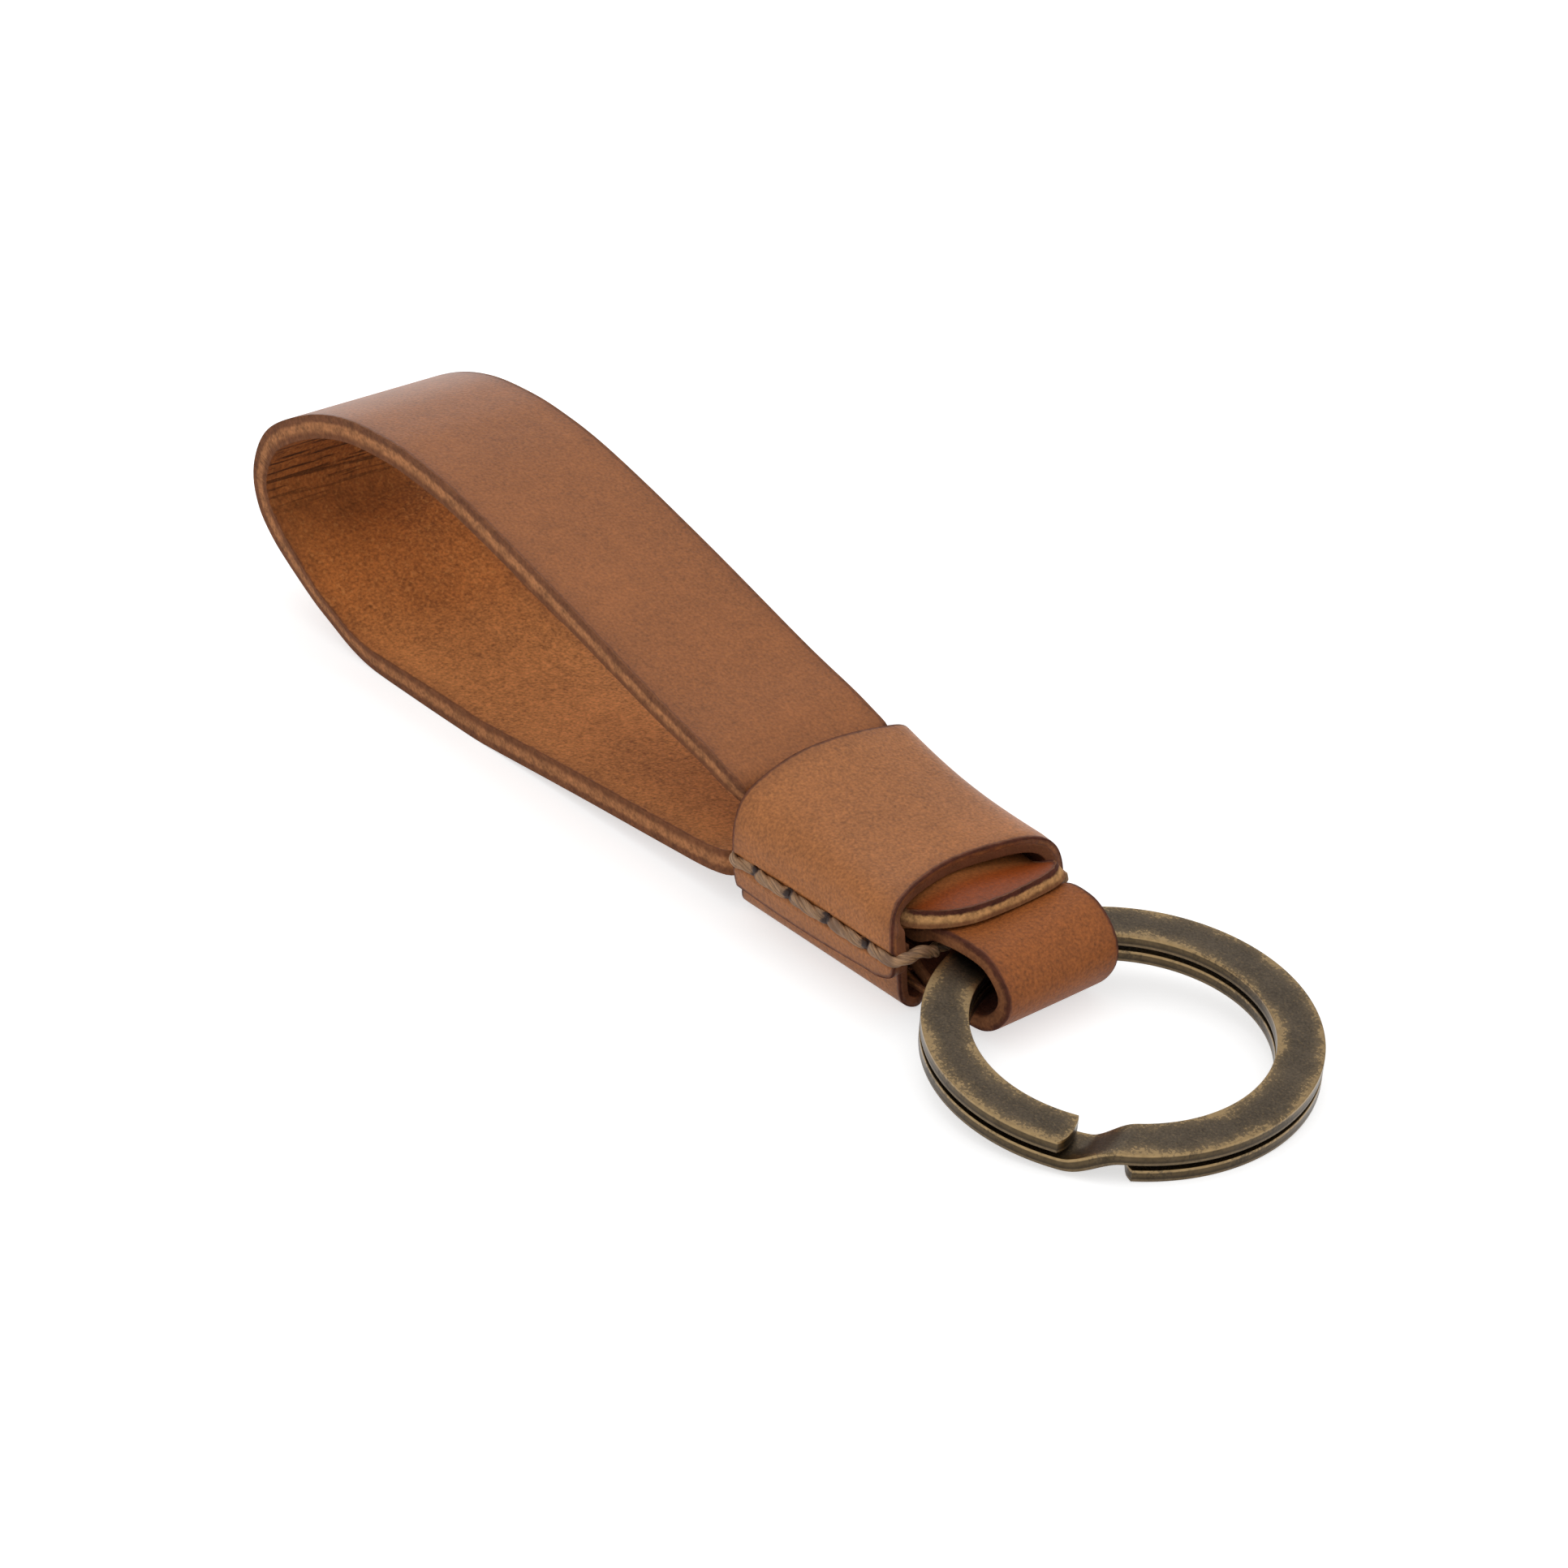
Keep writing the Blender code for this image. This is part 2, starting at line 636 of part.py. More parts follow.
def make_thread(collection, parent):
    """The waxed thread as one unbroken tube."""
    points = thread_points()
    line = spline(points, even_pieces(points, THREAD_STEP, True), True)
    curve = bpy.data.curves.new("thread", "CURVE")
    curve.dimensions = "3D"
    curve.bevel_depth = THREAD_RADIUS
    curve.bevel_resolution = 2
    route = curve.splines.new("POLY")
    route.points.add(len(line) - 1)
    for point, spot in zip(route.points, line):
        point.co = (*spot, 1)
    route.use_cyclic_u = True
    material = principled("waxed_thread", THREAD_COLOUR, 0.7)
    return add_object("thread", curve, collection, material, parent)


def ring_angles():
    """The angles of the wire's stations, closer together along the crank."""
    angles = [RING_START]
    while angles[-1] > RING_END:
        near_crank = CRANK_END - CRANK_STEP < angles[-1] <= CRANK_START + CRANK_STEP
        step = CRANK_STEP if near_crank else RING_STEP
        angles.append(max(RING_END, angles[-1] - step))
    return angles


def wire_height(angle):
    """The height of the wire's middle over the ring's middle plane."""
    down = eased((CRANK_START - angle) / (CRANK_START - CRANK_END))
    return mixed(TURN_RISE, -TURN_RISE, down)


def least_turn_gap(angles):
    """The least free height between the ring's two turns, measured on their stations."""
    full_turn = 2 * pi
    gaps = [
        wire_height(angle) - wire_height(angle - full_turn) - RING_WIRE
        for angle in angles
        if angle - full_turn >= RING_END
    ]
    return min(gaps)


def ring_centre():
    """The ring's centre, with the ring's lowest edge on the table."""
    normal = Euler((RING_ROLL, RING_LEAN, 0), "XYZ").to_matrix().col[2]
    drop = RING_OUTER_RADIUS * sqrt(1 - normal.z**2) + RING_THICKNESS / 2 * normal.z
    return Vector((RING_INSET + RING_OUTER_RADIUS * cos(RING_LEAN), RING_OFFSET, drop))


def make_split_ring(collection, parent):
    """The split ring, a flat wire of two turns with a crank between them."""
    angles = ring_angles()
    radii = (RING_OUTER_RADIUS - RING_BAND, RING_OUTER_RADIUS)

    def place(column, row):
        angle = angles[column]
        radius = radii[row]
        return Vector((radius * cos(angle), radius * sin(angle), wire_height(angle)))

    material = principled("antique_brass", BRASS_COLOUR, 0.4, 1.0)
    ring, spots = sheet(
        "split_ring", len(angles) - 1, 1, place, collection, material, parent
    )
    thicken(ring, RING_WIRE, 0, RING_EDGE)
    print(f"split_ring: least gap between turns {least_turn_gap(angles) / MM:.2f} mm")
    return ring


def add_axis(name, collection, parent, location):
    """An empty on a joint's axis."""
    empty = add_object(name, None, collection, None, parent)
    empty.location = location
    return empty


def centre_on_box(root, pieces):
    """Moves the root so that the pieces' box stands centred on the origin."""
    bpy.context.view_layer.update()
    depsgraph = bpy.context.evaluated_depsgraph_get()
    corners = []
    for piece in pieces:
        shown = piece.evaluated_get(depsgraph)
        mesh = shown.to_mesh()
        corners += [shown.matrix_world @ vert.co for vert in mesh.vertices]
        shown.to_mesh_clear()
    low = [min(corner[axis] for corner in corners) for axis in range(3)]
    high = [max(corner[axis] for corner in corners) for axis in range(3)]
    root.location = (-(low[0] + high[0]) / 2, -(low[1] + high[1]) / 2, -low[2])
    bpy.context.view_layer.update()


def main():
    """Builds the keychain."""
    for thing in list(bpy.data.objects):
        bpy.data.objects.remove(thing)
    collection = bpy.data.collections.new("leather_keychain")
    cutters = bpy.data.collections.new("cutters")
    bpy.context.scene.collection.children.link(collection)
    bpy.context.scene.collection.children.link(cutters)
    root = add_object("leather_keychain_frame", None, collection, None)
    flex = add_axis("loop_flex_axis", collection, root, (FLEX_INSET, 0, FLEX_HEIGHT))
    turn = add_axis("ring_turn_axis", collection, root, ring_centre())
    turn.rotation_euler = (RING_ROLL, RING_LEAN, 0)
    strap = make_strap(collection, root)
    wrap = make_wrap(collection, root, cutters)
    thread = make_thread(collection, root)
    ring_loop = make_ring_loop(collection, flex)
    ring_loop.location = -flex.location
    split_ring = make_split_ring(collection, turn)
    centre_on_box(root, (strap, wrap, thread, ring_loop, split_ring))
    for axis in (flex, turn):
        place = axis.matrix_world.translation / MM
        print(f"{axis.name}: {place.x:.3f} {place.y:.3f} {place.z:.3f} mm")
    normal = turn.matrix_world.col[2]
    print(f"ring axis: {normal.x:.5f} {normal.y:.5f} {normal.z:.5f}")


main()
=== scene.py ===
"""The finished look of a leather keychain: strap, wrap, ring loop, thread and split ring.

X runs from the strap's loop to the ring, Y across the strap and Z up. The pieces are laid out from
the middle of the wrap's mouth on the table, which the frame's first joint gives.
"""

import json
from math import acos, atan2, cos, pi, radians, sin, sqrt, tan

import bpy
from bpy.props import FloatProperty, FloatVectorProperty, PointerProperty
from bpy.types import Operator, Panel, PropertyGroup
from mathutils import Matrix, Vector
from mathutils.kdtree import KDTree


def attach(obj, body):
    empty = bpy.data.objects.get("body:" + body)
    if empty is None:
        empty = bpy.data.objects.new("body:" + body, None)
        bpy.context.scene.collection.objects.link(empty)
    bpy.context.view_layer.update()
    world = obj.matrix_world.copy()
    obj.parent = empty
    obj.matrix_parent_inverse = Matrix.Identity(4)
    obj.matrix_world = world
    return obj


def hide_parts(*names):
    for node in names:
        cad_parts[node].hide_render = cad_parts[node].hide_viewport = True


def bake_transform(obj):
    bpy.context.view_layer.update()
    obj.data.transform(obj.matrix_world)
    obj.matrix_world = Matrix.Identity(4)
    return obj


bl_info = {
    "name": "Leather Keychain",
    "version": (1, 0, 0),
    "blender": (4, 5, 0),
    "location": "View3D > Sidebar > Keychain",
    "description": "Builds a folded leather keychain with a stitched wrap and a split ring",
    "category": "Add Mesh",
}

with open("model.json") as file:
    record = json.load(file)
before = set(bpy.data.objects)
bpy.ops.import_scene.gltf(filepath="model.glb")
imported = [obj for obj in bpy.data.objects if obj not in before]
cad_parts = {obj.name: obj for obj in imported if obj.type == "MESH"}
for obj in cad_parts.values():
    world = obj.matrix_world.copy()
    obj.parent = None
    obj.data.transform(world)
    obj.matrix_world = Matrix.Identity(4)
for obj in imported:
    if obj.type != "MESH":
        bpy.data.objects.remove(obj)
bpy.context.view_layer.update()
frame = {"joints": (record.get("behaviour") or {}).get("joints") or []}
JOINTS = {joint["name"]: joint for joint in frame["joints"]}
MM = 0.001

# Where the ring loop's hinge lies from the mouth of the wrap, which fixes the layout's origin
FLEX_INSET = 5.3 * MM
FLEX_HEIGHT = 4.3 * MM
ORIGIN = Vector(JOINTS["loop_flex"]["pos_m"]) - Vector((FLEX_INSET, 0, FLEX_HEIGHT))
RING_CENTRE = Vector(JOINTS["ring_turn"]["pos_m"])
RING_AXIS = Vector(JOINTS["ring_turn"]["axis"])

# The strap's loop, from the wrap round its far bend and back: length share, height share
LOOP_SHARES = (
    (0.077, 0.530),
    (0.171, 0.605),
    (0.362, 0.783),
    (0.558, 0.946),
    (0.664, 0.996),
    (0.735, 1.000),
    (0.803, 0.978),
    (0.873, 0.910),
    (0.946, 0.788),
    (0.982, 0.679),
    (1.000, 0.529),
    (0.992, 0.412),
    (0.975, 0.344),
    (0.948, 0.271),
    (0.883, 0.140),
    (0.842, 0.083),
    (0.800, 0.031),
    (0.762, 0.005),
    (0.725, 0.000),
    (0.685, 0.000),
    (0.645, 0.000),
    (0.605, 0.000),
    (0.565, 0.000),
    (0.525, 0.000),
    (0.485, 0.008),
    (0.316, 0.049),
    (0.146, 0.085),
    (0.062, 0.106),
)
# Where the upper ply starts to thin towards the wrap, as a share of the loop's length
SKIVE_SHARE = 0.45
# Where the lower ply's far edge rises highest and where it lies flat again, as shares of that length
LIFT_PEAK_SHARE = 0.85
LIFT_FLAT_SHARE = 0.555

# The ring loop's eye, from the mouth round its bend and back: length share, height share
EYE_SHARES = (
    (0.198, 0.905),
    (0.362, 0.970),
    (0.448, 0.990),
    (0.552, 1.005),
    (0.694, 1.000),
    (0.784, 0.974),
    (0.884, 0.870),
    (0.966, 0.722),
    (1.000, 0.565),
    (0.983, 0.391),
    (0.931, 0.243),
    (0.862, 0.113),
    (0.784, 0.035),
    (0.716, 0.009),
    (0.509, 0.000),
    (0.267, 0.104),
    (0.120, 0.210),
)
# Where the eye's far side starts and ends rising, as shares of its length
RISE_START_SHARE = 0.25
RISE_END_SHARE = 0.60

# The wrap's inner start, from its top down: height share, reach past the mouth and inset at the
# entry, both as shares of the wrap's length
START_SHARES = (
    (0.585, 0.150, 0.035),
    (0.460, 0.146, 0.025),
    (0.310, 0.142, -0.005),
)
# The wrap from its near bottom corner round to the flap's edge: across and up at the mouth, across
# and up at the entry, reach past the mouth and inset at the entry
WRAP_SHARES = (
    (-0.755, 0.055, -0.745, 0.040, 0.135, -0.045),
    (-0.600, 0.004, -0.590, 0.004, 0.155, -0.030),
    (-0.200, 0.000, -0.200, 0.000, 0.000, 0.000),
    (0.400, 0.000, 0.400, 0.000, 0.000, 0.000),
    (0.800, 0.040, 0.800, 0.040, 0.000, 0.000),
    (0.980, 0.250, 0.980, 0.230, 0.050, 0.000),
    (1.020, 0.480, 1.030, 0.440, 0.090, 0.000),
    (1.015, 0.700, 1.040, 0.640, 0.090, 0.000),
    (0.930, 0.890, 1.015, 0.795, 0.078, 0.000),
    (0.710, 0.995, 0.915, 0.912, 0.056, 0.000),
    (0.300, 1.015, 0.610, 0.965, 0.022, 0.000),
    (-0.080, 0.995, 0.200, 1.000, 0.000, 0.000),
    (-0.480, 0.968, -0.250, 0.990, 0.040, 0.000),
    (-0.800, 0.935, -0.640, 0.925, 0.115, 0.015),
    (-0.960, 0.845, -0.890, 0.840, 0.180, 0.035),
    (-1.000, 0.680, -1.000, 0.690, 0.205, 0.050),
    (-1.000, 0.560, -1.010, 0.560, 0.218, 0.050),
    (-0.995, 0.440, -0.995, 0.430, 0.214, 0.050),
    (-0.990, 0.385, -0.980, 0.335, 0.178, 0.050),
    (-0.985, 0.340, -0.965, 0.255, 0.085, 0.062),
)
# How many points of the wrap are at the start's thickness, and over how many it thickens
WRAP_THIN_POINTS = 7
WRAP_THICKENING_POINTS = 2
# The far wall's bulge across at the stitches, and the rims' reach there past the mouth
FAR_WALL_SHARE = 1.035
NEAR_RIM_SHARE = 0.210
FAR_RIM_SHARE = 0.098
ENTRY_RIM_SHARE = 0.050
# Holes along the stitch line, as shares of the wrap's length back from its mouth
HOLE_SHARES = (0.78, 0.525, 0.25, -0.03)

# In thicknesses: how far in from the wrap's outer face a place counts as on its side wall, and how
# far over its lower edge the flap bows
WALL_SHARE = 1.2
BOW_SHARE = 1.5
# Beside the stitch line, in half widths of the dent: how far the dent reaches, where the lips are
# and how far the painted shade along the dent reaches; then the reach of a pit and of the painted
# shade in it, in its half widths, and the strength of the painted shade along the dent
DENT_SHARE = 1.2
LIP_SHARE = 1.6
GROOVE_SHADE_SHARE = 1.3
PIT_SHARE = 1.5
GROOVE_SHADE_LEVEL = 0.5
# How far the painted shade on the thread reaches from a hole, in half widths of a pit
THREAD_SHADE_SHARE = 2
# The tongue's colour eases in over its reach divided by this
TONGUE_FADE = 3
# Where the thread leaves an edge that it turns round, in radii
TURN_LEAD = 1.5

# Spacing of the modelled points
STRAP_STEP = 1.0 * MM
RING_LOOP_STEP = 0.7 * MM
WRAP_STEP = 0.7 * MM
THREAD_STEP = 0.16 * MM
STRANDS = 3
STRAND_ROWS = 10
MERGE = 0.001 * MM
OUTLINE_STEP = 0.1 * MM
RING_STEP = radians(1.5)
RING_ROWS = 8
SPLINE_PIECES = 12
NEAR_CORNER_ROWS = 6
FAR_CORNER_ROWS = 4
MIDDLE_ROWS = 6
# The bevels of the cut edges, and a corner's first row in bevel widths
BEVEL_SEGMENTS = 3
BEVEL_LIMIT = radians(60)
BEVEL_CLEARANCE = 1.1

# Patterns of the surfaces, with each noise's size, strength and detail
CLOUDING = ((16 * MM, 0.4, 2), (1.6 * MM, 0.35, 3))
MOTTLE_SIZE = 0.26 * MM
FLESH_GRAINS = ((9 * MM, 0.7, 2), (1.2 * MM, 0.6, 3), (0.3 * MM, 1.7, 3))
CORE_GRAINS = ((1.3 * MM, 1.0, 3), (0.32 * MM, 1.6, 3))
RAW_GRAINS = ((1.3 * MM, 0.8, 3), (0.32 * MM, 1.5, 3))
BURNISH_GRAINS = ((1.2 * MM, 1.4, 3), (0.3 * MM, 0.8, 2))
PATINA_GRAINS = ((2 * MM, 0.7, 3), (0.22 * MM, 1.2, 2))
BRASS_GRAINS = ((0.5 * MM, 0.7, 3),)
RING_WALL_GRAINS = ((1 * MM, 1.2, 3),)
# How much brighter the flecks are in red, green and blue
GRAIN_FLECK = (1.4, 1.5, 1.4)
FLESH_FLECK = (1.4, 1.4, 1.3)
# How deep the fine relief is, and how the surfaces shine
LEATHER_RELIEF = 0.12 * MM
THREAD_RELIEF = 0.1 * MM
BRASS_RELIEF = 0.05 * MM
LEATHER_SPECULAR = 0.25
THREAD_SPECULAR = 0.4
FIBRE_ROUGHNESS = 0.9
THREAD_ROUGHNESS = 0.5
PATINA_ROUGHNESS = 0.4
BRASS_ROUGHNESS = 0.3
# In from a cut edge: where the rim, its dark line and the soft shade inside it fade out
RIM_FADE = (0.08 * MM, 0.26 * MM)
LINE_FADE = (0.18 * MM, 0.44 * MM)
SHADE_FADE = (0.2 * MM, 1.9 * MM)
# From the grain side at zero to the back at one: where the rim's dark line fades out, and where the
# back's colour and its stain on the rim come in
RIM_LINE_FADE = (0.1, 0.36)
BACK_FADE = (0.75, 0.95)
STAIN_FADE = (0.6, 1.05)
# On from the inside of the strap's far bend: where its redness fades out, and where its painted
# shade and its creases, with their painted shade, do
WARM_FADE = (14 * MM, 34 * MM)
BEND_FADE = (0.5 * MM, 7.5 * MM)
# Where the creases and their painted shade come in, as shares of the loop's height
CREASE_RISE_SHARES = (0.3, 0.6)
# On the ring: where its side walls' painted shade comes in, down from its flat faces, and where the
# haze and line of rubbed brass with painted highlight fade out, in from its corners
WALL_SHADE_FADE = (0.03 * MM, 0.16 * MM)
HAZE_FADE = (0, 1.3 * MM)
RUB_AND_HIGHLIGHT_FADE = (0.1 * MM, 0.5 * MM)
# The Mix node's sockets for plain values and for colours
MIX_SHARE = 0
MIX_VALUE_A = 2
MIX_VALUE_B = 3
MIX_COLOUR_A = 6
MIX_COLOUR_B = 7
MIX_VALUE = 0
MIX_COLOUR = 2

# The stage
SENSOR_WIDTH = 36
CLIP_START = 10 * MM
FLOOR_SIZE = 6
OVERHEAD_PLACE = (-0.15, 0.2, 0.75)
OVERHEAD_SIZE = 0.7
REAR_PLACE = (-0.55, 0.5, 0.45)
REAR_SIZE = 0.5
WHITE = (1, 1, 1, 1)
PAPER = (0.8, 0.8, 0.8, 1)
PAPER_SEEN = (0.72, 0.72, 0.72, 1)
PAPER_GLOW = 0.59


def length_property(name, description, millimetres):
    """A length for the panel, given in millimetres."""
    size = millimetres * MM
    return FloatProperty(name=name, description=description, default=size, unit="LENGTH")


def angle_property(name, description, degrees):
    """An angle for the panel, given in degrees."""
    angle = radians(degrees)
    return FloatProperty(name=name, description=description, default=angle, subtype="ANGLE")


def colour_property(name, description, colour):
    """A colour for the panel."""
    return FloatVectorProperty(name=name, description=description, default=colour, subtype="COLOR")


def level_property(name, description, level):
    """A plain number for the panel."""
    return FloatProperty(name=name, description=description, default=level)


class StrapSettings(PropertyGroup):
    """The folded strap's sizes."""

    width: length_property("Width", "Width of the strap", 16.4)
    thickness: length_property("Thickness", "Full thickness of the leather", 2.2)
    edge: length_property("Edge", "Rounding of the burnished edges", 0.32)
    loop_length: length_property("Loop length", "From the wrap to the far bend", 73.8)
    loop_height: length_property("Loop height", "Height of the loop's crest", 24.3)
    skived_thickness: length_property("Skived thickness", "Upper ply inside the wrap", 1.65)
    entry_crown: length_property("Entry crown", "Upper ply's crown at the wrap's entry", 1.55)
    mouth_crown: length_property("Mouth crown", "Upper ply's crown at the wrap's mouth", 1.2)
    pinch_length: length_property("Pinch length", "Over which the wrap narrows the strap", 1.4)
    upper_pinch: length_property("Upper pinch", "Upper ply's narrowing, near side", 1.3)
    far_pinch: length_property("Far pinch", "Upper ply's narrowing, far side", 0.55)
    lower_pinch: length_property("Lower pinch", "Lower ply's narrowing, near side", 2.5)
    lower_far_pinch: length_property("Lower far pinch", "Lower ply's narrowing, far side", 1.9)
    lower_far_lift: length_property("Lower far lift", "Rise of the lower ply's far edge", 4.0)
    tongue_thickness: length_property("Tongue thickness", "Upper end's thickness", 1.45)
    tongue_reach: length_property("Tongue reach", "Upper end's reach past the mouth", 5.4)
    tongue_rise: length_property("Tongue rise", "Upper end's rise", 0.5)
    tongue_crown: length_property("Tongue crown", "Upper end's crown", 0.25)
    tongue_far_rise: length_property("Tongue far rise", "Rise of the tongue's far corner", 1.2)
    tongue_near_radius: length_property("Tongue near radius", "Near corner's radius", 5.6)
    tongue_far_radius: length_property("Tongue far radius", "Far corner's radius", 2.2)
    tongue_zone: length_property("Tongue zone", "Length over which the tongue is rounded", 9.0)
    lower_end_thickness: length_property("Lower end thickness", "Lower end, thinned", 0.7)
    lower_end_inset: length_property("Lower end inset", "Lower end behind the mouth", 0.3)
    lower_corner_reach: length_property(
        "Lower corner reach", "Lower end's near corner past the mouth", 3.1
    )
    lower_corner_width: length_property("Lower corner width", "Width of that corner", 0.75)
    lower_entry_rise: length_property("Lower entry rise", "Lower ply's underside at the entry", 3.15)
    lower_zone: length_property("Lower zone", "Length over which the lower end is cut", 8.0)


class WrapSettings(PropertyGroup):
    """The wrap's sizes."""

    length: length_property("Length", "From its entry to its mouth", 18.0)
    thickness: length_property("Thickness", "Thickness of the flap and walls", 1.5)
    start_thickness: length_property("Start thickness", "Thickness under the flap", 0.9)
    floor: length_property("Floor", "Height of its underside over the table", 0.3)
    mouth_height: length_property("Mouth height", "Height at the mouth", 10.6)
    entry_height: length_property("Entry height", "Height at the entry", 13.4)
    edge: length_property("Edge", "Rounding of the burnished edges", 0.32)
    gap: length_property("Gap", "Clearance between the plies", 0.2)
    dent_depth: length_property("Dent depth", "How deep the thread presses into it", 0.4)
    dent_width: length_property("Dent width", "Half width of that dent", 0.75)
    sag: length_property("Sag", "How far its middle sinks in", 0.4)
    lip: length_property("Lip", "How far it swells beside the thread", 0.12)
    flap_bow: length_property("Flap bow", "How far the flap's edge bows down", 0.3)
    pit_depth: length_property("Pit depth", "Depth of the stitch holes", 0.8)
    pit_width: length_property("Pit width", "Half width of the stitch holes", 0.5)


class RingLoopSettings(PropertyGroup):
    """The ring loop's sizes."""

    width: length_property("Width", "Width of the strip", 12.3)
    offset: length_property("Offset", "How far it sits to the far side", 1.25)
    thickness: length_property("Thickness", "Thickness of the leather", 1.4)
    edge: length_property("Edge", "Rounding of the burnished edges", 0.3)
    eye_length: length_property("Eye length", "From the mouth to its end", 12.3)
    eye_floor: length_property("Eye floor", "Height of its underside over the table", 0.4)
    eye_height: length_property("Eye height", "Height of the eye", 7.4)
    far_lift: length_property("Far lift", "Rise of the eye's far side", 1.1)
    far_shortening: length_property("Far shortening", "How much shorter the far side is", 0.5)
    tail_length: length_property("Tail length", "Length of its tails in the wrap", 9.5)


class ThreadSettings(PropertyGroup):
    """The thread's sizes."""

    diameter: length_property("Diameter", "Diameter of the laid thread", 1.1)
    strand_radius: length_property("Strand radius", "Radius of each strand", 0.35)
    strand_offset: length_property("Strand offset", "How far each strand lies off centre", 0.21)
    pitch: length_property("Pitch", "Length of one turn of the strands", 6.5)
    flatness: level_property("Flatness", "Its depth as a share of its width", 0.8)
    clear: length_property("Clear", "Its middle off the wrap's edges", 0.22)
    sink: length_property("Sink", "How far its middle lies under the leather's face", 0.05)
    far_drop: length_property("Far drop", "How much lower it turns at the far side", 1.3)
    hole: length_property("Hole", "Diameter of the stitch holes", 1.8)
    height: length_property("Height", "Height of the stitch line", 6.3)
    dip: length_property("Dip", "How far it dives into the holes", 0.4)
    crossing_inset: length_property("Crossing inset", "Where it crosses, past the mouth", 2.2)
    crossing_height: length_property("Crossing height", "Height of that crossing", 4.75)
    entry_crossing_height: length_property(
        "Entry crossing height", "Height of the crossing at the entry", 7.4
    )


class RingSettings(PropertyGroup):
    """The split ring's sizes."""

    outer_radius: length_property("Outer radius", "Radius over the wire", 16.0)
    band: length_property("Band", "Width of the flat wire", 3.83)
    wire: length_property("Wire", "Thickness of the flat wire", 1.1)
    turn_gap: length_property("Turn gap", "Space between the two turns", 0.45)
    edge: length_property("Edge", "Rounding of the wire's corners", 0.38)
    corner: length_property("Corner", "Rounding of the wire's ends, seen from above", 0.45)
    start: angle_property("Start", "Angle of the upper turn's end", -57.0)
    end_slant: angle_property("End slant", "How far aslant the upper end is cut", 2.0)
    crank_slant: angle_property("Crank slant", "How much later the outer side goes down", 6.5)
    crank_start: angle_property("Crank start", "Where the wire starts down", -399.0)
    crank_end: angle_property("Crank end", "Where the wire is down", -415.0)
    end: angle_property("End", "Angle of the lower turn's end", -760.0)


class FinishSettings(PropertyGroup):
    """Colours of the leather, brass and thread."""

    strap: colour_property("Strap", "Grain side of the strap", (0.305, 0.103, 0.029))
    wrap: colour_property("Wrap", "Grain side of the wrap", (0.362, 0.132, 0.040))
    ring_loop: colour_property("Ring loop", "Grain side of the ring loop", (0.290, 0.086, 0.019))
    flesh: colour_property("Flesh side", "Rough inner side of the strap", (0.500, 0.195, 0.060))
    tongue: colour_property("Tongue", "Redder end of the strap", (0.250, 0.050, 0.007))
    warm_flesh: colour_property(
        "Warm flesh side", "Redder flesh side in the bend", (0.430, 0.140, 0.032)
    )
    wax: colour_property("Wax", "Darker waxed patches of the thread", (0.170, 0.090, 0.050))
    lining: colour_property("Lining", "Inner side of the wrap and ring loop", (0.110, 0.030, 0.012))
    core: colour_property("Core", "Middle of a cut edge", (0.400, 0.165, 0.065))
    raw: colour_property("Raw edge", "Lighter cut edge of the tongue", (0.520, 0.270, 0.105))
    # Also the base of the painted shade in the stitch holes, on the leather and on the thread
    burnish_and_hole_shade: colour_property("Burnish", "Dark burnished border", (0.080, 0.022, 0.012))
    patina: colour_property("Patina", "Dark antique finish of the ring", (0.090, 0.069, 0.048))
    brass: colour_property("Brass", "Bare brass at worn corners", (0.420, 0.285, 0.135))
    thread: colour_property("Thread", "Waxed thread", (0.340, 0.190, 0.095))


class StageSettings(PropertyGroup):
    """The camera and the lights."""

    azimuth: angle_property("Azimuth", "Camera's turn about Z", 51.08)
    elevation: angle_property("Elevation", "Camera's height angle", 28.67)
    roll: angle_property("Roll", "Camera's roll", 1.21)
    distance: length_property("Distance", "Camera from the point it looks at", 424.66)
    lens: level_property("Lens", "Focal length in millimetres", 111.2)
    aim: FloatVectorProperty(
        name="Aim",
        description="The point that the camera looks at",
        default=(-5.493 * MM, 8.2215 * MM, 0),
        unit="LENGTH",
    )
    sky: level_property("Sky", "Brightness of the surrounding light", 0.85)
    sky_behind: level_property("Sky behind", "Brightness of its dimmer part", 0.4)
    glow: level_property("Glow", "Added brightness low behind", 2.4)
    overhead: level_property("Overhead", "Power of the lamp overhead, in watts", 0.9)
    rear: level_property("Rear", "Power of the lamp behind, in watts", 0.5)


def mixed(start, end, share):
    """The value a share of the way from start to end, held at both ends."""
    return start + (end - start) * min(1, max(0, share))


def eased(share):
    """A share that leaves zero and reaches one gently."""
    held = min(1, max(0, share))
    return held * held * (3 - 2 * held)


def spline(points, pieces=SPLINE_PIECES, closed=False):
    """Points on a smooth curve through the given ones, with equal numbers of pieces in each span."""
    count = len(points)
    spans = count if closed else count - 1
    line = []
    for index in range(spans):
        places = [index - 1, index, index + 1, index + 2]
        if closed:
            places = [place % count for place in places]
        a, b, c, d = (Vector(points[min(max(place, 0), count - 1)]) for place in places)
        for part in range(pieces):
            t = part / pieces
            bend = a * 2 - b * 5 + c * 4 - d
            turn = b * 3 - a - c * 3 + d
            line.append((b * 2 + (c - a) * t + bend * t**2 + turn * t**3) / 2)
    line.append(Vector(points[0] if closed else points[-1]))
    return line


def lengths_along(line):
    """The distance from the line's start to each of its points."""
    lengths = [0.0]
    for a, b in zip(line, line[1:]):
        lengths.append(lengths[-1] + (b - a).length)
    return lengths


def position_at(lengths, length):
    """Where a length falls on a line, as an index and a share of the next span."""
    index = 0
    while index < len(lengths) - 2 and lengths[index + 1] < length:
        index += 1
    return index, (length - lengths[index]) / (lengths[index + 1] - lengths[index])


def point_at(line, lengths, length):
    """The point of the line at a length from its start."""
    index, share = position_at(lengths, length)
    return line[index].lerp(line[index + 1], share)


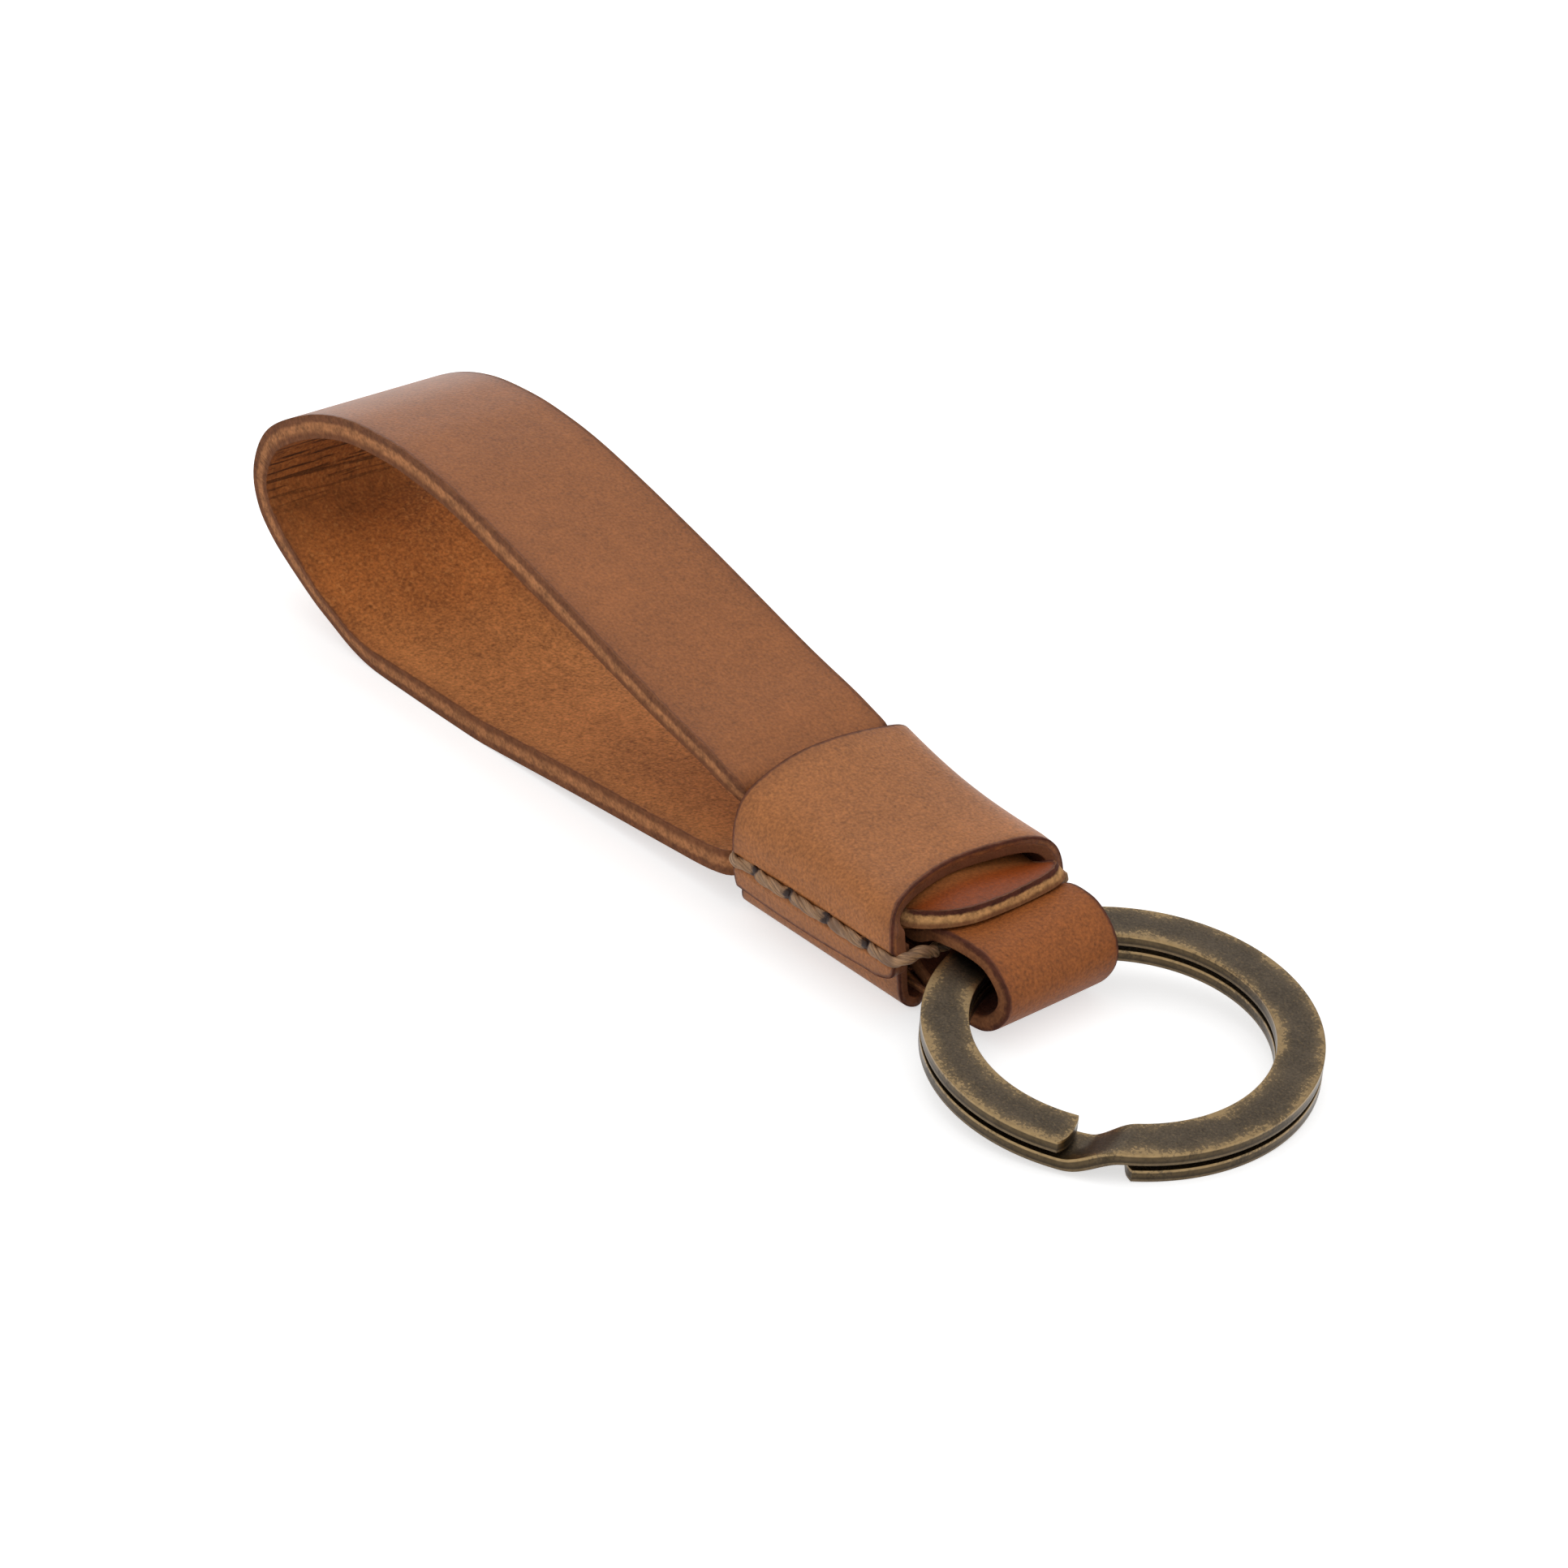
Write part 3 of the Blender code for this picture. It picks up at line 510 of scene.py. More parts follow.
def upper_ply(x):
    """The height, thickness and crown of the strap's upper ply in and past the wrap."""
    strap = bpy.context.scene.keychain_strap
    wrap = bpy.context.scene.keychain_wrap
    inside = -x / wrap.length
    past = x / strap.tongue_reach
    drop = wrap.thickness + wrap.gap + strap.skived_thickness / 2
    mouth = wrap.floor + wrap.mouth_height - drop
    entry = wrap.floor + wrap.entry_height - drop
    height = mixed(mouth, entry, inside) + strap.tongue_rise * eased(past)
    thickness = mixed(strap.skived_thickness, strap.tongue_thickness, past)
    crown = mixed(strap.mouth_crown, strap.entry_crown, inside)
    return height, thickness, mixed(crown, strap.tongue_crown, max(0, past) ** 2)


def lower_ply(x):
    """The height and thickness of the strap's lower ply in the wrap."""
    strap = bpy.context.scene.keychain_strap
    wrap = bpy.context.scene.keychain_wrap
    inside = -x / wrap.length
    mouth = wrap.floor + wrap.start_thickness + wrap.gap + strap.lower_end_thickness / 2
    entry = strap.lower_entry_rise + strap.thickness / 2
    thickness = mixed(strap.lower_end_thickness, strap.thickness, inside)
    return mixed(mouth, entry, inside), thickness


def new_grid(name, columns, rows, place, flat):
    """A grid whose point at a column and a row lies at place(column, row), with flat as its UV."""
    bpy.ops.object.select_all(action="DESELECT")
    bpy.ops.mesh.primitive_grid_add(x_subdivisions=columns, y_subdivisions=rows, size=1)
    piece = bpy.context.object
    piece.name = piece.data.name = name
    mesh = piece.data
    spots = [
        (round((vertex.co.x + 0.5) * columns), round((vertex.co.y + 0.5) * rows))
        for vertex in mesh.vertices
    ]
    uv = mesh.uv_layers.active.data
    for loop in mesh.loops:
        uv[loop.index].uv = flat(*spots[loop.vertex_index])
    for vertex, spot in zip(mesh.vertices, spots):
        vertex.co = place(*spot)
    return piece, spots


def apply_modifiers(piece):
    """Applies the piece's modifiers in their order."""
    bpy.context.view_layer.objects.active = piece
    for modifier in list(piece.modifiers):
        bpy.ops.object.modifier_apply(modifier=modifier.name)


def outline_tree(piece):
    """A search tree of close points along the open sheet's boundary."""
    mesh = piece.data
    uses = {}
    for polygon in mesh.polygons:
        for key in polygon.edge_keys:
            uses[key] = uses.get(key, 0) + 1
    points = []
    for (a, b), count in uses.items():
        if count == 1:
            start, end = mesh.vertices[a].co, mesh.vertices[b].co
            parts = max(1, round((end - start).length / OUTLINE_STEP))
            points += [start.lerp(end, part / parts) for part in range(parts)]
    tree = KDTree(len(points))
    for index, point in enumerate(points):
        tree.insert(point, index)
    tree.balance()
    return tree


def add_thickness(piece, thickness, offset, edge, levels, shares=None):
    """Turns an open sheet into leather or wire, and notes depth and distance from the cut edges."""
    tree = outline_tree(piece)
    local = piece.vertex_groups.new(name="thickness")
    for index in range(len(piece.data.vertices)):
        local.add([index], shares[index] if shares else 1.0, "REPLACE")
    back = piece.vertex_groups.new(name="back")
    solid = piece.modifiers.new("thickness", "SOLIDIFY")
    solid.thickness = thickness
    solid.offset = offset
    solid.use_even_offset = True
    solid.vertex_group = local.name
    solid.shell_vertex_group = back.name
    bevel = piece.modifiers.new("edge", "BEVEL")
    bevel.width = edge
    bevel.segments = BEVEL_SEGMENTS
    bevel.limit_method = "ANGLE"
    bevel.angle_limit = BEVEL_LIMIT
    smooth = piece.modifiers.new("smooth", "SUBSURF")
    smooth.levels = smooth.render_levels = levels
    apply_modifiers(piece)
    note_depth(piece, thickness, offset, tree)
    piece.vertex_groups.clear()
    piece.data.shade_smooth()


def keep_marks(piece, name, marks):
    """Keeps a number for each of the piece's points, for its material."""
    piece.data.attributes.new(name, "FLOAT", "POINT").data.foreach_set("value", marks)


def group_weight(vertex, group):
    """The vertex's weight in a group, or zero."""
    return next((item.weight for item in vertex.groups if item.group == group.index), 0.0)


def note_depth(piece, thickness, offset, tree):
    """Writes depth, from the grain side to the back, and edge, the distance from a cut edge."""
    mesh = piece.data
    back = piece.vertex_groups["back"]
    local = piece.vertex_groups["thickness"]
    depths = []
    edges = []
    for vertex in mesh.vertices:
        depth = group_weight(vertex, back)
        off_sheet = abs(depth - (1 + offset) / 2) * thickness * group_weight(vertex, local)
        distance = tree.find(vertex.co)[2]
        depths.append(depth)
        edges.append(sqrt(max(0.0, distance**2 - off_sheet**2)))
    keep_marks(piece, "depth", depths)
    keep_marks(piece, "edge", edges)


def corner_rows(radius, edge, count):
    """Insets across and along of a rounded corner's rows, the first just wider than the bevel."""
    first = acos(1 - edge * BEVEL_CLEARANCE / radius)
    angles = [0] + [first + (pi / 2 - first) * row / (count - 1) for row in range(count)]
    return [(radius * (1 - cos(angle)), radius * (1 - sin(angle))) for angle in angles]


def strap_rows():
    """For each row across the strap: its share of the half width, and its insets at both ends."""
    strap = bpy.context.scene.keychain_strap
    half = strap.width / 2
    near = half - strap.upper_pinch
    far = half - strap.far_pinch
    near_rows = corner_rows(strap.tongue_near_radius, strap.edge, NEAR_CORNER_ROWS)
    far_rows = corner_rows(strap.tongue_far_radius, strap.edge, FAR_CORNER_ROWS)
    rows = [(-(near - across) / near, inset) for across, inset in near_rows]
    last_near = rows[-1][0]
    last_far = (far - far_rows[-1][0]) / far
    for row in range(1, MIDDLE_ROWS):
        rows.append((mixed(last_near, last_far, row / MIDDLE_ROWS), 0))
    rows += [((far - across) / far, inset) for across, inset in reversed(far_rows)]
    full_inset = strap.lower_corner_reach + strap.lower_end_inset
    corner_share = 1 - strap.lower_corner_width / (half - strap.lower_pinch)
    return [
        (share, inset, full_inset * eased((share + 1) / (1 - corner_share)))
        for share, inset in rows
    ]


def strap_line():
    """The strap's centreline from the tongue round the loop to the lower end."""
    strap = bpy.context.scene.keychain_strap
    wrap_length = bpy.context.scene.keychain_wrap.length
    reach = strap.tongue_reach
    wrapped = [reach, reach / 2, 0] + [-wrap_length * k / 4 for k in range(1, 5)]
    points = [(x, 0, upper_ply(x)[0]) for x in wrapped]
    half = strap.thickness / 2
    for along, up in LOOP_SHARES:
        x = -wrap_length - along * (strap.loop_length - half)
        points.append((x, 0, half + up * (strap.loop_height - strap.thickness)))
    points += [(x, 0, lower_ply(x)[0]) for x in reversed(wrapped[2:])]
    points.append((strap.lower_corner_reach, 0, lower_ply(0)[0]))
    return spline(points)


def make_strap():
    """The folded strap."""
    strap = bpy.context.scene.keychain_strap
    wrap_length = bpy.context.scene.keychain_wrap.length
    half = strap.width / 2
    line = strap_line()
    lengths = lengths_along(line)
    total = lengths[-1]
    columns = round(total / STRAP_STEP)
    fold_index = min(range(len(line)), key=lambda index: line[index].x)
    fold_x, fold = line[fold_index].x, lengths[fold_index]
    peak = -wrap_length - LIFT_PEAK_SHARE * strap.loop_length
    flat_end = -wrap_length - LIFT_FLAT_SHARE * strap.loop_length
    rows = strap_rows()

    def lower_lift(x):
        """How far the lower ply's far edge rises over its near edge."""
        start = fold_x if x < peak else flat_end
        return strap.lower_far_lift * eased((x - start) / (peak - start))

    def station(column):
        """The thickness, crown, near half and far half of a column."""
        length = total * column / columns
        x = point_at(line, lengths, length).x
        pinch = eased(1 + (x + wrap_length) / strap.pinch_length)
        if length > fold:
            far = half - strap.lower_far_pinch * pinch
            return lower_ply(x)[1], 0.0, half - strap.lower_pinch * pinch, far
        along = (-wrap_length - x) / (SKIVE_SHARE * strap.loop_length)
        thickness = mixed(upper_ply(x)[1], strap.thickness, along)
        far = half - strap.far_pinch * pinch
        return thickness, upper_ply(x)[2] * pinch, half - strap.upper_pinch * pinch, far

    stations = [station(column) for column in range(columns + 1)]

    def along_strap(column, row):
        """The length along the strap of a place on it, after its ends are cut."""
        length = total * column / columns
        if length < strap.tongue_zone:
            return mixed(rows[row][1], strap.tongue_zone, length / strap.tongue_zone)
        if total - length < strap.lower_zone:
            left = (total - length) / strap.lower_zone
            return total - mixed(rows[row][2], strap.lower_zone, left)
        return length

    def flat(column, row):
        return along_strap(column, row), rows[row][0] * half

    def place(column, row):
        share = rows[row][0]
        spot = point_at(line, lengths, along_strap(column, row))
        _, crown, near, far = stations[column]
        y = share * (near if share < 0 else far)
        if total * column / columns > fold:
            lift = lower_lift(spot.x) * (share + 1) / 2
        else:
            rise = strap.tongue_far_rise * eased(spot.x / strap.tongue_reach)
            lift = rise * max(0, share) ** 2
        return ORIGIN + Vector((spot.x, y, spot.z - crown * share**2 + lift))

    piece, spots = new_grid("folded_strap", columns, len(rows) - 1, place, flat)
    turn_faces(piece)
    shares = [stations[column][0] / strap.thickness for column, _ in spots]
    add_thickness(piece, strap.thickness, 0, strap.edge, levels=1, shares=shares)
    note_tongue(piece)
    piece.data.materials.append(strap_leather())
    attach(piece, "leather")
    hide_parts("strap")


def note_tongue(piece):
    """Writes how far each place of the strap is out on the tongue."""
    reach = bpy.context.scene.keychain_strap.tongue_reach
    height = ORIGIN.z + upper_ply(0)[0] / 2
    marks = [
        eased((vertex.co.x - ORIGIN.x) / reach * TONGUE_FADE) if vertex.co.z > height else 0.0
        for vertex in piece.data.vertices
    ]
    keep_marks(piece, "tongue", marks)


def ring_loop_line():
    """The ring loop's centreline from its upper tail round the eye to its lower tail."""
    loop = bpy.context.scene.keychain_ring_loop
    gap = bpy.context.scene.keychain_wrap.gap
    half = loop.thickness / 2
    upper = []
    lower = []
    for x in (-loop.tail_length, -loop.tail_length / 2, 0):
        height, thickness, crown = upper_ply(x)
        upper.append((x, 0, height - thickness / 2 - crown - gap - half))
        height, thickness = lower_ply(x)
        lower.append((x, 0, height + thickness / 2 + gap + half))
    reach = loop.eye_length - half
    rise = loop.eye_height - loop.thickness
    eye = [
        (along * reach, 0, loop.eye_floor + half + up * rise) for along, up in EYE_SHARES
    ]
    return spline(upper + eye + lower[::-1])


def make_ring_loop():
    """The small folded strip that holds the ring."""
    loop = bpy.context.scene.keychain_ring_loop
    line = ring_loop_line()
    lengths = lengths_along(line)
    total = lengths[-1]
    columns = round(total / RING_LOOP_STEP)
    rows = round(loop.width / RING_LOOP_STEP)
    reach = loop.eye_length - loop.thickness / 2
    floor = loop.eye_floor + loop.thickness / 2
    rise = loop.eye_height - loop.thickness

    def flat(column, row):
        return total * column / columns, (row / rows - 0.5) * loop.width

    def place(column, row):
        across = row / rows
        spot = point_at(line, lengths, total * column / columns)
        along = spot.x / reach
        lifted = eased((along - RISE_START_SHARE) / (RISE_END_SHARE - RISE_START_SHARE))
        up = min(1, max(0, (spot.z - floor) / rise))
        lift = loop.far_lift * lifted * up * across**2
        shortening = loop.far_shortening * max(0, along) * across
        y = loop.offset + (across - 0.5) * loop.width
        return ORIGIN + Vector((spot.x - shortening, y, spot.z + lift))

    piece, _ = new_grid("folded_ring_loop", columns, rows, place, flat)
    add_thickness(piece, loop.thickness, 0, loop.edge, levels=2)
    piece.data.materials.append(ring_loop_leather())
    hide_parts("ring_loop")
    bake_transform(piece)


def wrap_outlines():
    """The wrap's outer surface at its mouth and at its entry, as control points."""
    wrap = bpy.context.scene.keychain_wrap
    half = bpy.context.scene.keychain_strap.width / 2 + wrap.gap + wrap.thickness
    inside = wrap.thickness + wrap.gap
    flap_mouth, flap_entry = WRAP_SHARES[-1][0], WRAP_SHARES[-1][2]
    mouth = []
    entry = []
    for up, reach, inset in START_SHARES:
        z = wrap.floor + up * wrap.mouth_height
        mouth.append((reach * wrap.length, flap_mouth * half + inside, z))
        entry.append(((inset - 1) * wrap.length, flap_entry * half + inside, z))
    for y_mouth, up_mouth, y_entry, up_entry, reach, inset in WRAP_SHARES:
        z = wrap.floor + up_mouth * wrap.mouth_height
        mouth.append((reach * wrap.length, y_mouth * half, z))
        z = wrap.floor + up_entry * wrap.entry_height
        entry.append(((inset - 1) * wrap.length, y_entry * half, z))
    return mouth, entry


def make_wrap():
    """The piece wrapped round all the plies."""
    wrap = bpy.context.scene.keychain_wrap
    mouth, entry = wrap_outlines()
    mouth_line, entry_line = spline(mouth), spline(entry)
    lengths = lengths_along([a.lerp(b, 0.5) for a, b in zip(mouth_line, entry_line)])
    total = lengths[-1]
    rows = round(total / WRAP_STEP)
    columns = round(wrap.length / WRAP_STEP)
    positions = [position_at(lengths, total * row / rows) for row in range(rows + 1)]

    def flat(column, row):
        return wrap.length * column / columns, total * row / rows

    def place(column, row):
        index, share = positions[row]
        start = entry_line[index].lerp(entry_line[index + 1], share)
        end = mouth_line[index].lerp(mouth_line[index + 1], share)
        return ORIGIN + start.lerp(end, column / columns)

    piece, spots = new_grid("stitched_wrap", columns, rows, place, flat)
    turn_faces(piece)
    thin = wrap.start_thickness / wrap.thickness
    shares = []
    for column, row in spots:
        index, share = positions[row]
        point = (index + share) / SPLINE_PIECES
        shares.append(mixed(thin, 1, (point - WRAP_THIN_POINTS) / WRAP_THICKENING_POINTS))
    add_thickness(piece, wrap.thickness, -1, wrap.edge, levels=2, shares=shares)
    shape_outside(piece)
    piece.data.materials.append(wrap_leather())
    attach(piece, "leather")
    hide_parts("wrap")


def turn_faces(piece):
    """Turns the open sheet's faces over."""
    bpy.context.view_layer.objects.active = piece
    bpy.ops.object.mode_set(mode="EDIT")
    bpy.ops.mesh.select_all(action="SELECT")
    bpy.ops.mesh.flip_normals()
    bpy.ops.object.mode_set(mode="OBJECT")


def shape_outside(piece):
    """Sags the wrap's outer side, bows its flap's edge, presses the stitches in and notes them."""
    wrap = bpy.context.scene.keychain_wrap
    thread = bpy.context.scene.keychain_thread
    half = bpy.context.scene.keychain_strap.width / 2 + wrap.gap + wrap.thickness
    wall = half - wrap.thickness * WALL_SHARE
    flap_edge = wrap.floor + WRAP_SHARES[-1][1] * wrap.mouth_height
    holes = [-share * wrap.length for share in HOLE_SHARES]
    mesh = piece.data
    depths = mesh.attributes["depth"].data
    marks = [0.0] * len(mesh.vertices)
    pushes = []
    for vertex, depth in zip(mesh.vertices, depths):
        place = vertex.co - ORIGIN
        middle = sin(pi * min(1, max(0, -place.x / wrap.length)))
        over_thread = eased((place.z - thread.height) / wrap.thickness)
        push = -vertex.normal * wrap.sag * middle * over_thread
        above = (place.z - thread.height) / wrap.dent_width
        if abs(place.y) > wall:
            inwards = wrap.dent_depth * eased(DENT_SHARE - abs(above))
            upper_lip = eased(1 - abs(above - LIP_SHARE))
            inwards -= wrap.lip * (upper_lip + eased(1 - abs(above + LIP_SHARE)))
            # The marks say where shade is painted: fully in the pits, fainter along the dent
            for hole in holes:
                off_hole = sqrt((place.x - hole) ** 2 + (place.z - thread.height) ** 2)
                near = eased(PIT_SHARE - off_hole / wrap.pit_width)
                inwards = max(inwards, wrap.pit_depth * near)
                marks[vertex.index] = max(marks[vertex.index], near)
            stitch_shade = GROOVE_SHADE_LEVEL * eased(GROOVE_SHADE_SHARE - abs(above))
            marks[vertex.index] = max(marks[vertex.index], stitch_shade)
            push.y += inwards if place.y < 0 else -inwards
        push *= 1 - depth.value
        if place.y < -wall:
            above_edge = (place.z - flap_edge) / wrap.thickness
            push.z -= wrap.flap_bow * middle * eased(BOW_SHARE - above_edge)
        pushes.append(push)
    for vertex, push in zip(mesh.vertices, pushes):
        vertex.co += push
    keep_marks(piece, "stitch", marks)


def thread_points():
    """The thread's closed route along the near side, over at the mouth, back along the far side."""
    thread = bpy.context.scene.keychain_thread
    wrap = bpy.context.scene.keychain_wrap
    radius = thread.diameter / 2
    half = bpy.context.scene.keychain_strap.width / 2 + wrap.gap + wrap.thickness
    near_level = thread.sink - half
    far_level = FAR_WALL_SHARE * half - thread.sink
    height = thread.height
    mouth_reach = NEAR_RIM_SHARE * wrap.length + thread.clear
    far_reach = FAR_RIM_SHARE * wrap.length + thread.clear
    entry = -wrap.length * (1 - ENTRY_RIM_SHARE) - thread.clear
    inside = half - wrap.thickness
    holes = [-share * wrap.length for share in HOLE_SHARES]
    half_hole = thread.hole / 2
    lead = TURN_LEAD * radius

    def run(level):
        """The stitches of one side from the entry to the mouth."""
        dip = level - thread.dip if level > 0 else level + thread.dip
        points = [(mixed(entry, holes[0], 0.35), level, height)]
        for start, end in zip(holes, holes[1:]):
            points.append((start, dip, height))
            points.append((start + half_hole, level, height))
            points.append((end - half_hole, level, height))
        points.append((holes[-1], dip, height))
        points.append((holes[-1] + half_hole, level, height))
        return points

    inner = thread.crossing_inset
    crossing = thread.crossing_height
    far_crossing = height - thread.far_drop
    near_turn = [
        (mouth_reach - lead, near_level, height),
        (mouth_reach - 0.3 * radius, near_level + 0.6 * radius, height),
        (mouth_reach, -half + 2.5 * radius, height),
        (mouth_reach, -inside, height),
        (mouth_reach - 0.5 * radius, -inside + 3 * radius, mixed(height, crossing, 0.1)),
        (mixed(mouth_reach, inner, 0.4), -inside + 6 * radius, mixed(height, crossing, 0.6)),
        (mixed(mouth_reach, inner, 0.9), -inside + 8 * radius, mixed(height, crossing, 0.9)),
    ]
    mouth_crossing = [
        (inner, 0, crossing),
        (inner, inside - 4 * radius, crossing),
        (far_reach, inside - radius, far_crossing),
        (far_reach, half - radius, far_crossing),
        (far_reach - lead, far_level, mixed(far_crossing, height, 0.5)),
    ]
    entry_crossing = thread.entry_crossing_height
    entry_turn = [
        (entry + lead, far_level, height),
        (entry, FAR_WALL_SHARE * half - 2 * radius, height),
        (entry, inside - radius, entry_crossing),
        (entry, 0, entry_crossing),
        (entry, radius - inside, entry_crossing),
        (entry, 2.5 * radius - half, height),
        (entry + 0.3 * radius, near_level + 0.6 * radius, height),
        (entry + lead, near_level, height),
    ]
    return run(near_level) + near_turn + mouth_crossing + run(far_level)[::-1] + entry_turn


def thread_frames(line, lengths, columns):
    """For each station along the closed route: its centre and two directions across it."""
    total = lengths[-1]
    centres = [point_at(line, lengths, total * column / columns) for column in range(columns)]
    frames = []
    side = Vector((0, 0, 1))
    for column in range(columns + 1):
        along = centres[(column + 1) % columns] - centres[column - 1 if column < columns else -1]
        side = (side - along * side.dot(along) / along.length_squared).normalized()
        frames.append((centres[column % columns], side, along.normalized().cross(side)))
    first, last = frames[0], frames[-1]
    slip = atan2(last[1].dot(first[2]), last[1].dot(first[1]))
    turned = []
    for column, (centre, side, up) in enumerate(frames[:-1]):
        c, s = cos(-slip * column / columns), sin(-slip * column / columns)
        turned.append((centre, side * c + up * s, up * c - side * s))
    return turned


def make_thread():
    """The waxed thread, laid from three strands and flattened along the leather."""
    thread = bpy.context.scene.keychain_thread
    line = spline(thread_points(), closed=True)
    lengths = lengths_along(line)
    total = lengths[-1]
    columns = round(total / THREAD_STEP)
    rows = STRANDS * STRAND_ROWS
    turns = round(total / thread.pitch)
    frames = thread_frames(line, lengths, columns)

    def flat(column, row):
        return total * column / columns, thread.diameter * pi * row / rows

    def place(column, row):
        centre, side, up = frames[column % columns]
        lobe = 2 * pi * (row % STRAND_ROWS - STRAND_ROWS / 2) / rows
        chord = thread.strand_radius**2 - (thread.strand_offset * sin(lobe)) ** 2
        radius = thread.strand_offset * cos(lobe) + sqrt(chord)
        angle = 2 * pi * (row / rows + turns * column / columns)
        off = (side * cos(angle) + up * sin(angle)) * radius
        off.y *= thread.flatness
        return ORIGIN + centre + off

    piece, _ = new_grid("laid_thread", columns, rows, place, flat)
    bpy.ops.object.mode_set(mode="EDIT")
    bpy.ops.mesh.select_all(action="SELECT")
    bpy.ops.mesh.remove_doubles(threshold=MERGE)
    bpy.ops.mesh.normals_make_consistent(inside=False)
    bpy.ops.object.mode_set(mode="OBJECT")
    piece.data.shade_smooth()
    note_holes(piece)
    piece.data.materials.append(waxed_thread())
    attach(piece, "leather")
    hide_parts("thread")


def note_holes(piece):
    """Writes how near each place of the thread is to a stitch hole."""
    wrap = bpy.context.scene.keychain_wrap
    holes = [ORIGIN.x - share * wrap.length for share in HOLE_SHARES]
    half = bpy.context.scene.keychain_strap.width / 2
    marks = []
    for vertex in piece.data.vertices:
        nearest = min(abs(vertex.co.x - hole) for hole in holes)
        on_side = abs(vertex.co.y - ORIGIN.y) > half
        near = 1 - nearest / wrap.pit_width / THREAD_SHADE_SHARE
        marks.append(max(0.0, near) if on_side else 0.0)
    keep_marks(piece, "stitch", marks)


def make_split_ring():
    """The split ring, a flat wire of two turns with a crank between them."""
    ring = bpy.context.scene.keychain_ring
    columns = round((ring.start - ring.end) / RING_STEP)
    rows = RING_ROWS
    rise = (ring.wire + ring.turn_gap) / 2
    lean = Vector((0, 0, 1)).rotation_difference(RING_AXIS).to_matrix()

    def angle_at(column, row):
        """The angle of a place on the wire, whose ends are cut aslant with rounded corners."""
        inset = ring.corner / ring.outer_radius * abs(2 * row / rows - 1) ** 4
        cut = ring.end_slant * (row / rows - 0.5)
        angle = ring.start + (ring.end - ring.start) * column / columns
        return min(ring.start - inset - cut, max(ring.end + inset, angle))

    def flat(column, row):
        return -angle_at(column, row) * ring.outer_radius, ring.band * row / rows

    def place(column, row):
        angle = angle_at(column, row)
        radius = ring.outer_radius - ring.band * (1 - row / rows)
        late = ring.crank_slant * (row / rows - 0.5)
        down = eased((ring.crank_start - late - angle) / (ring.crank_start - ring.crank_end))
        spot = Vector((radius * cos(angle), radius * sin(angle), mixed(rise, -rise, down)))
        return RING_CENTRE + lean @ spot

    piece, _ = new_grid("wound_split_ring", columns, rows, place, flat)
    add_thickness(piece, ring.wire, 0, ring.edge, levels=1)
    piece.data.materials.append(antique_brass())
    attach(piece, "ring")
    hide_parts("split_ring")


def stretched(tree, along, across):
    """The piece's own UV map, drawn out so that noise of size one has these two sizes."""
    uv = node(tree, "ShaderNodeUVMap", {"uv_map": "UVMap"}).outputs["UV"]
    inputs = {"Vector": uv, "Scale": (1 / along, 1 / across, 1)}
    return node(tree, "ShaderNodeMapping", None, inputs).outputs["Vector"]


def varied(tree, colour, patterns):
    """A colour made lighter and darker by noises, each with its size, strength and detail."""
    level = 1.0
    for size, strength, detail in patterns:
        swing = times(tree, uneven(tree, size, detail), strength)
        level = maths(tree, "ADD", level, swing)
    return blended(tree, 1.0, tinted(colour, 1), level, "MULTIPLY")


def new_material(name):
    """An empty material with its output and Principled shader."""
    material = bpy.data.materials.new(name)
    material.use_nodes = True
    return material, material.node_tree.nodes["Principled BSDF"]


def feed(tree, made, inputs):
    """Gives a node its inputs, as values or links."""
    for name, value in inputs.items():
        if isinstance(value, bpy.types.NodeSocket):
            tree.links.new(value, made.inputs[name])
        else:
            made.inputs[name].default_value = value


def node(tree, kind, settings=None, inputs=None):
    """A new node with its settings, and its inputs as values or links."""
    made = tree.nodes.new(kind)
    for name, value in (settings or {}).items():
        setattr(made, name, value)
    feed(tree, made, inputs or {})
    return made


def attribute(tree, name):
    """A number kept on the piece's points."""
    return node(tree, "ShaderNodeAttribute", {"attribute_name": name}).outputs["Fac"]


def noise(tree, size, detail=2.0, vector=None, roughness=0.5):
    """Soft noise whose blotches have a real size."""
    if vector is None:
        vector = object_place(tree)
    inputs = {"Vector": vector, "Scale": 1 / size, "Detail": detail, "Roughness": roughness}
    return node(tree, "ShaderNodeTexNoise", None, inputs).outputs["Fac"]


def ramped(tree, value, start, end, low=0.0, high=1.0):
    """A value eased from low to high as another goes from start to end."""
    inputs = {"Value": value, "From Min": start, "From Max": end, "To Min": low, "To Max": high}
    settings = {"interpolation_type": "SMOOTHSTEP"}
    return node(tree, "ShaderNodeMapRange", settings, inputs).outputs["Result"]


def maths(tree, operation, a, b):
    """One operation on two values."""
    return node(tree, "ShaderNodeMath", {"operation": operation}, {0: a, 1: b}).outputs[0]


def times(tree, a, b):
    """The product of two values."""
    return maths(tree, "MULTIPLY", a, b)


def rest_of(tree, share):
    """What a share leaves of one."""
    return maths(tree, "SUBTRACT", 1.0, share)


def uneven(tree, size, detail=2.0, roughness=0.5):
    """Soft noise about zero."""
    return maths(tree, "SUBTRACT", noise(tree, size, detail, roughness=roughness), 0.5)


def add_bump(tree, shader, strength, distance, height):
    """Raises the surface by a height pattern."""
    inputs = {"Strength": strength, "Distance": distance, "Height": height}
    bump = node(tree, "ShaderNodeBump", None, inputs)
    feed(tree, shader, {"Normal": bump.outputs["Normal"]})


def blended(tree, share, a, b, blend="MIX"):
    """Two colours mixed by a share."""
    settings = {"data_type": "RGBA", "blend_type": blend}
    inputs = {MIX_SHARE: share, MIX_COLOUR_A: a, MIX_COLOUR_B: b}
    return node(tree, "ShaderNodeMix", settings, inputs).outputs[MIX_COLOUR]


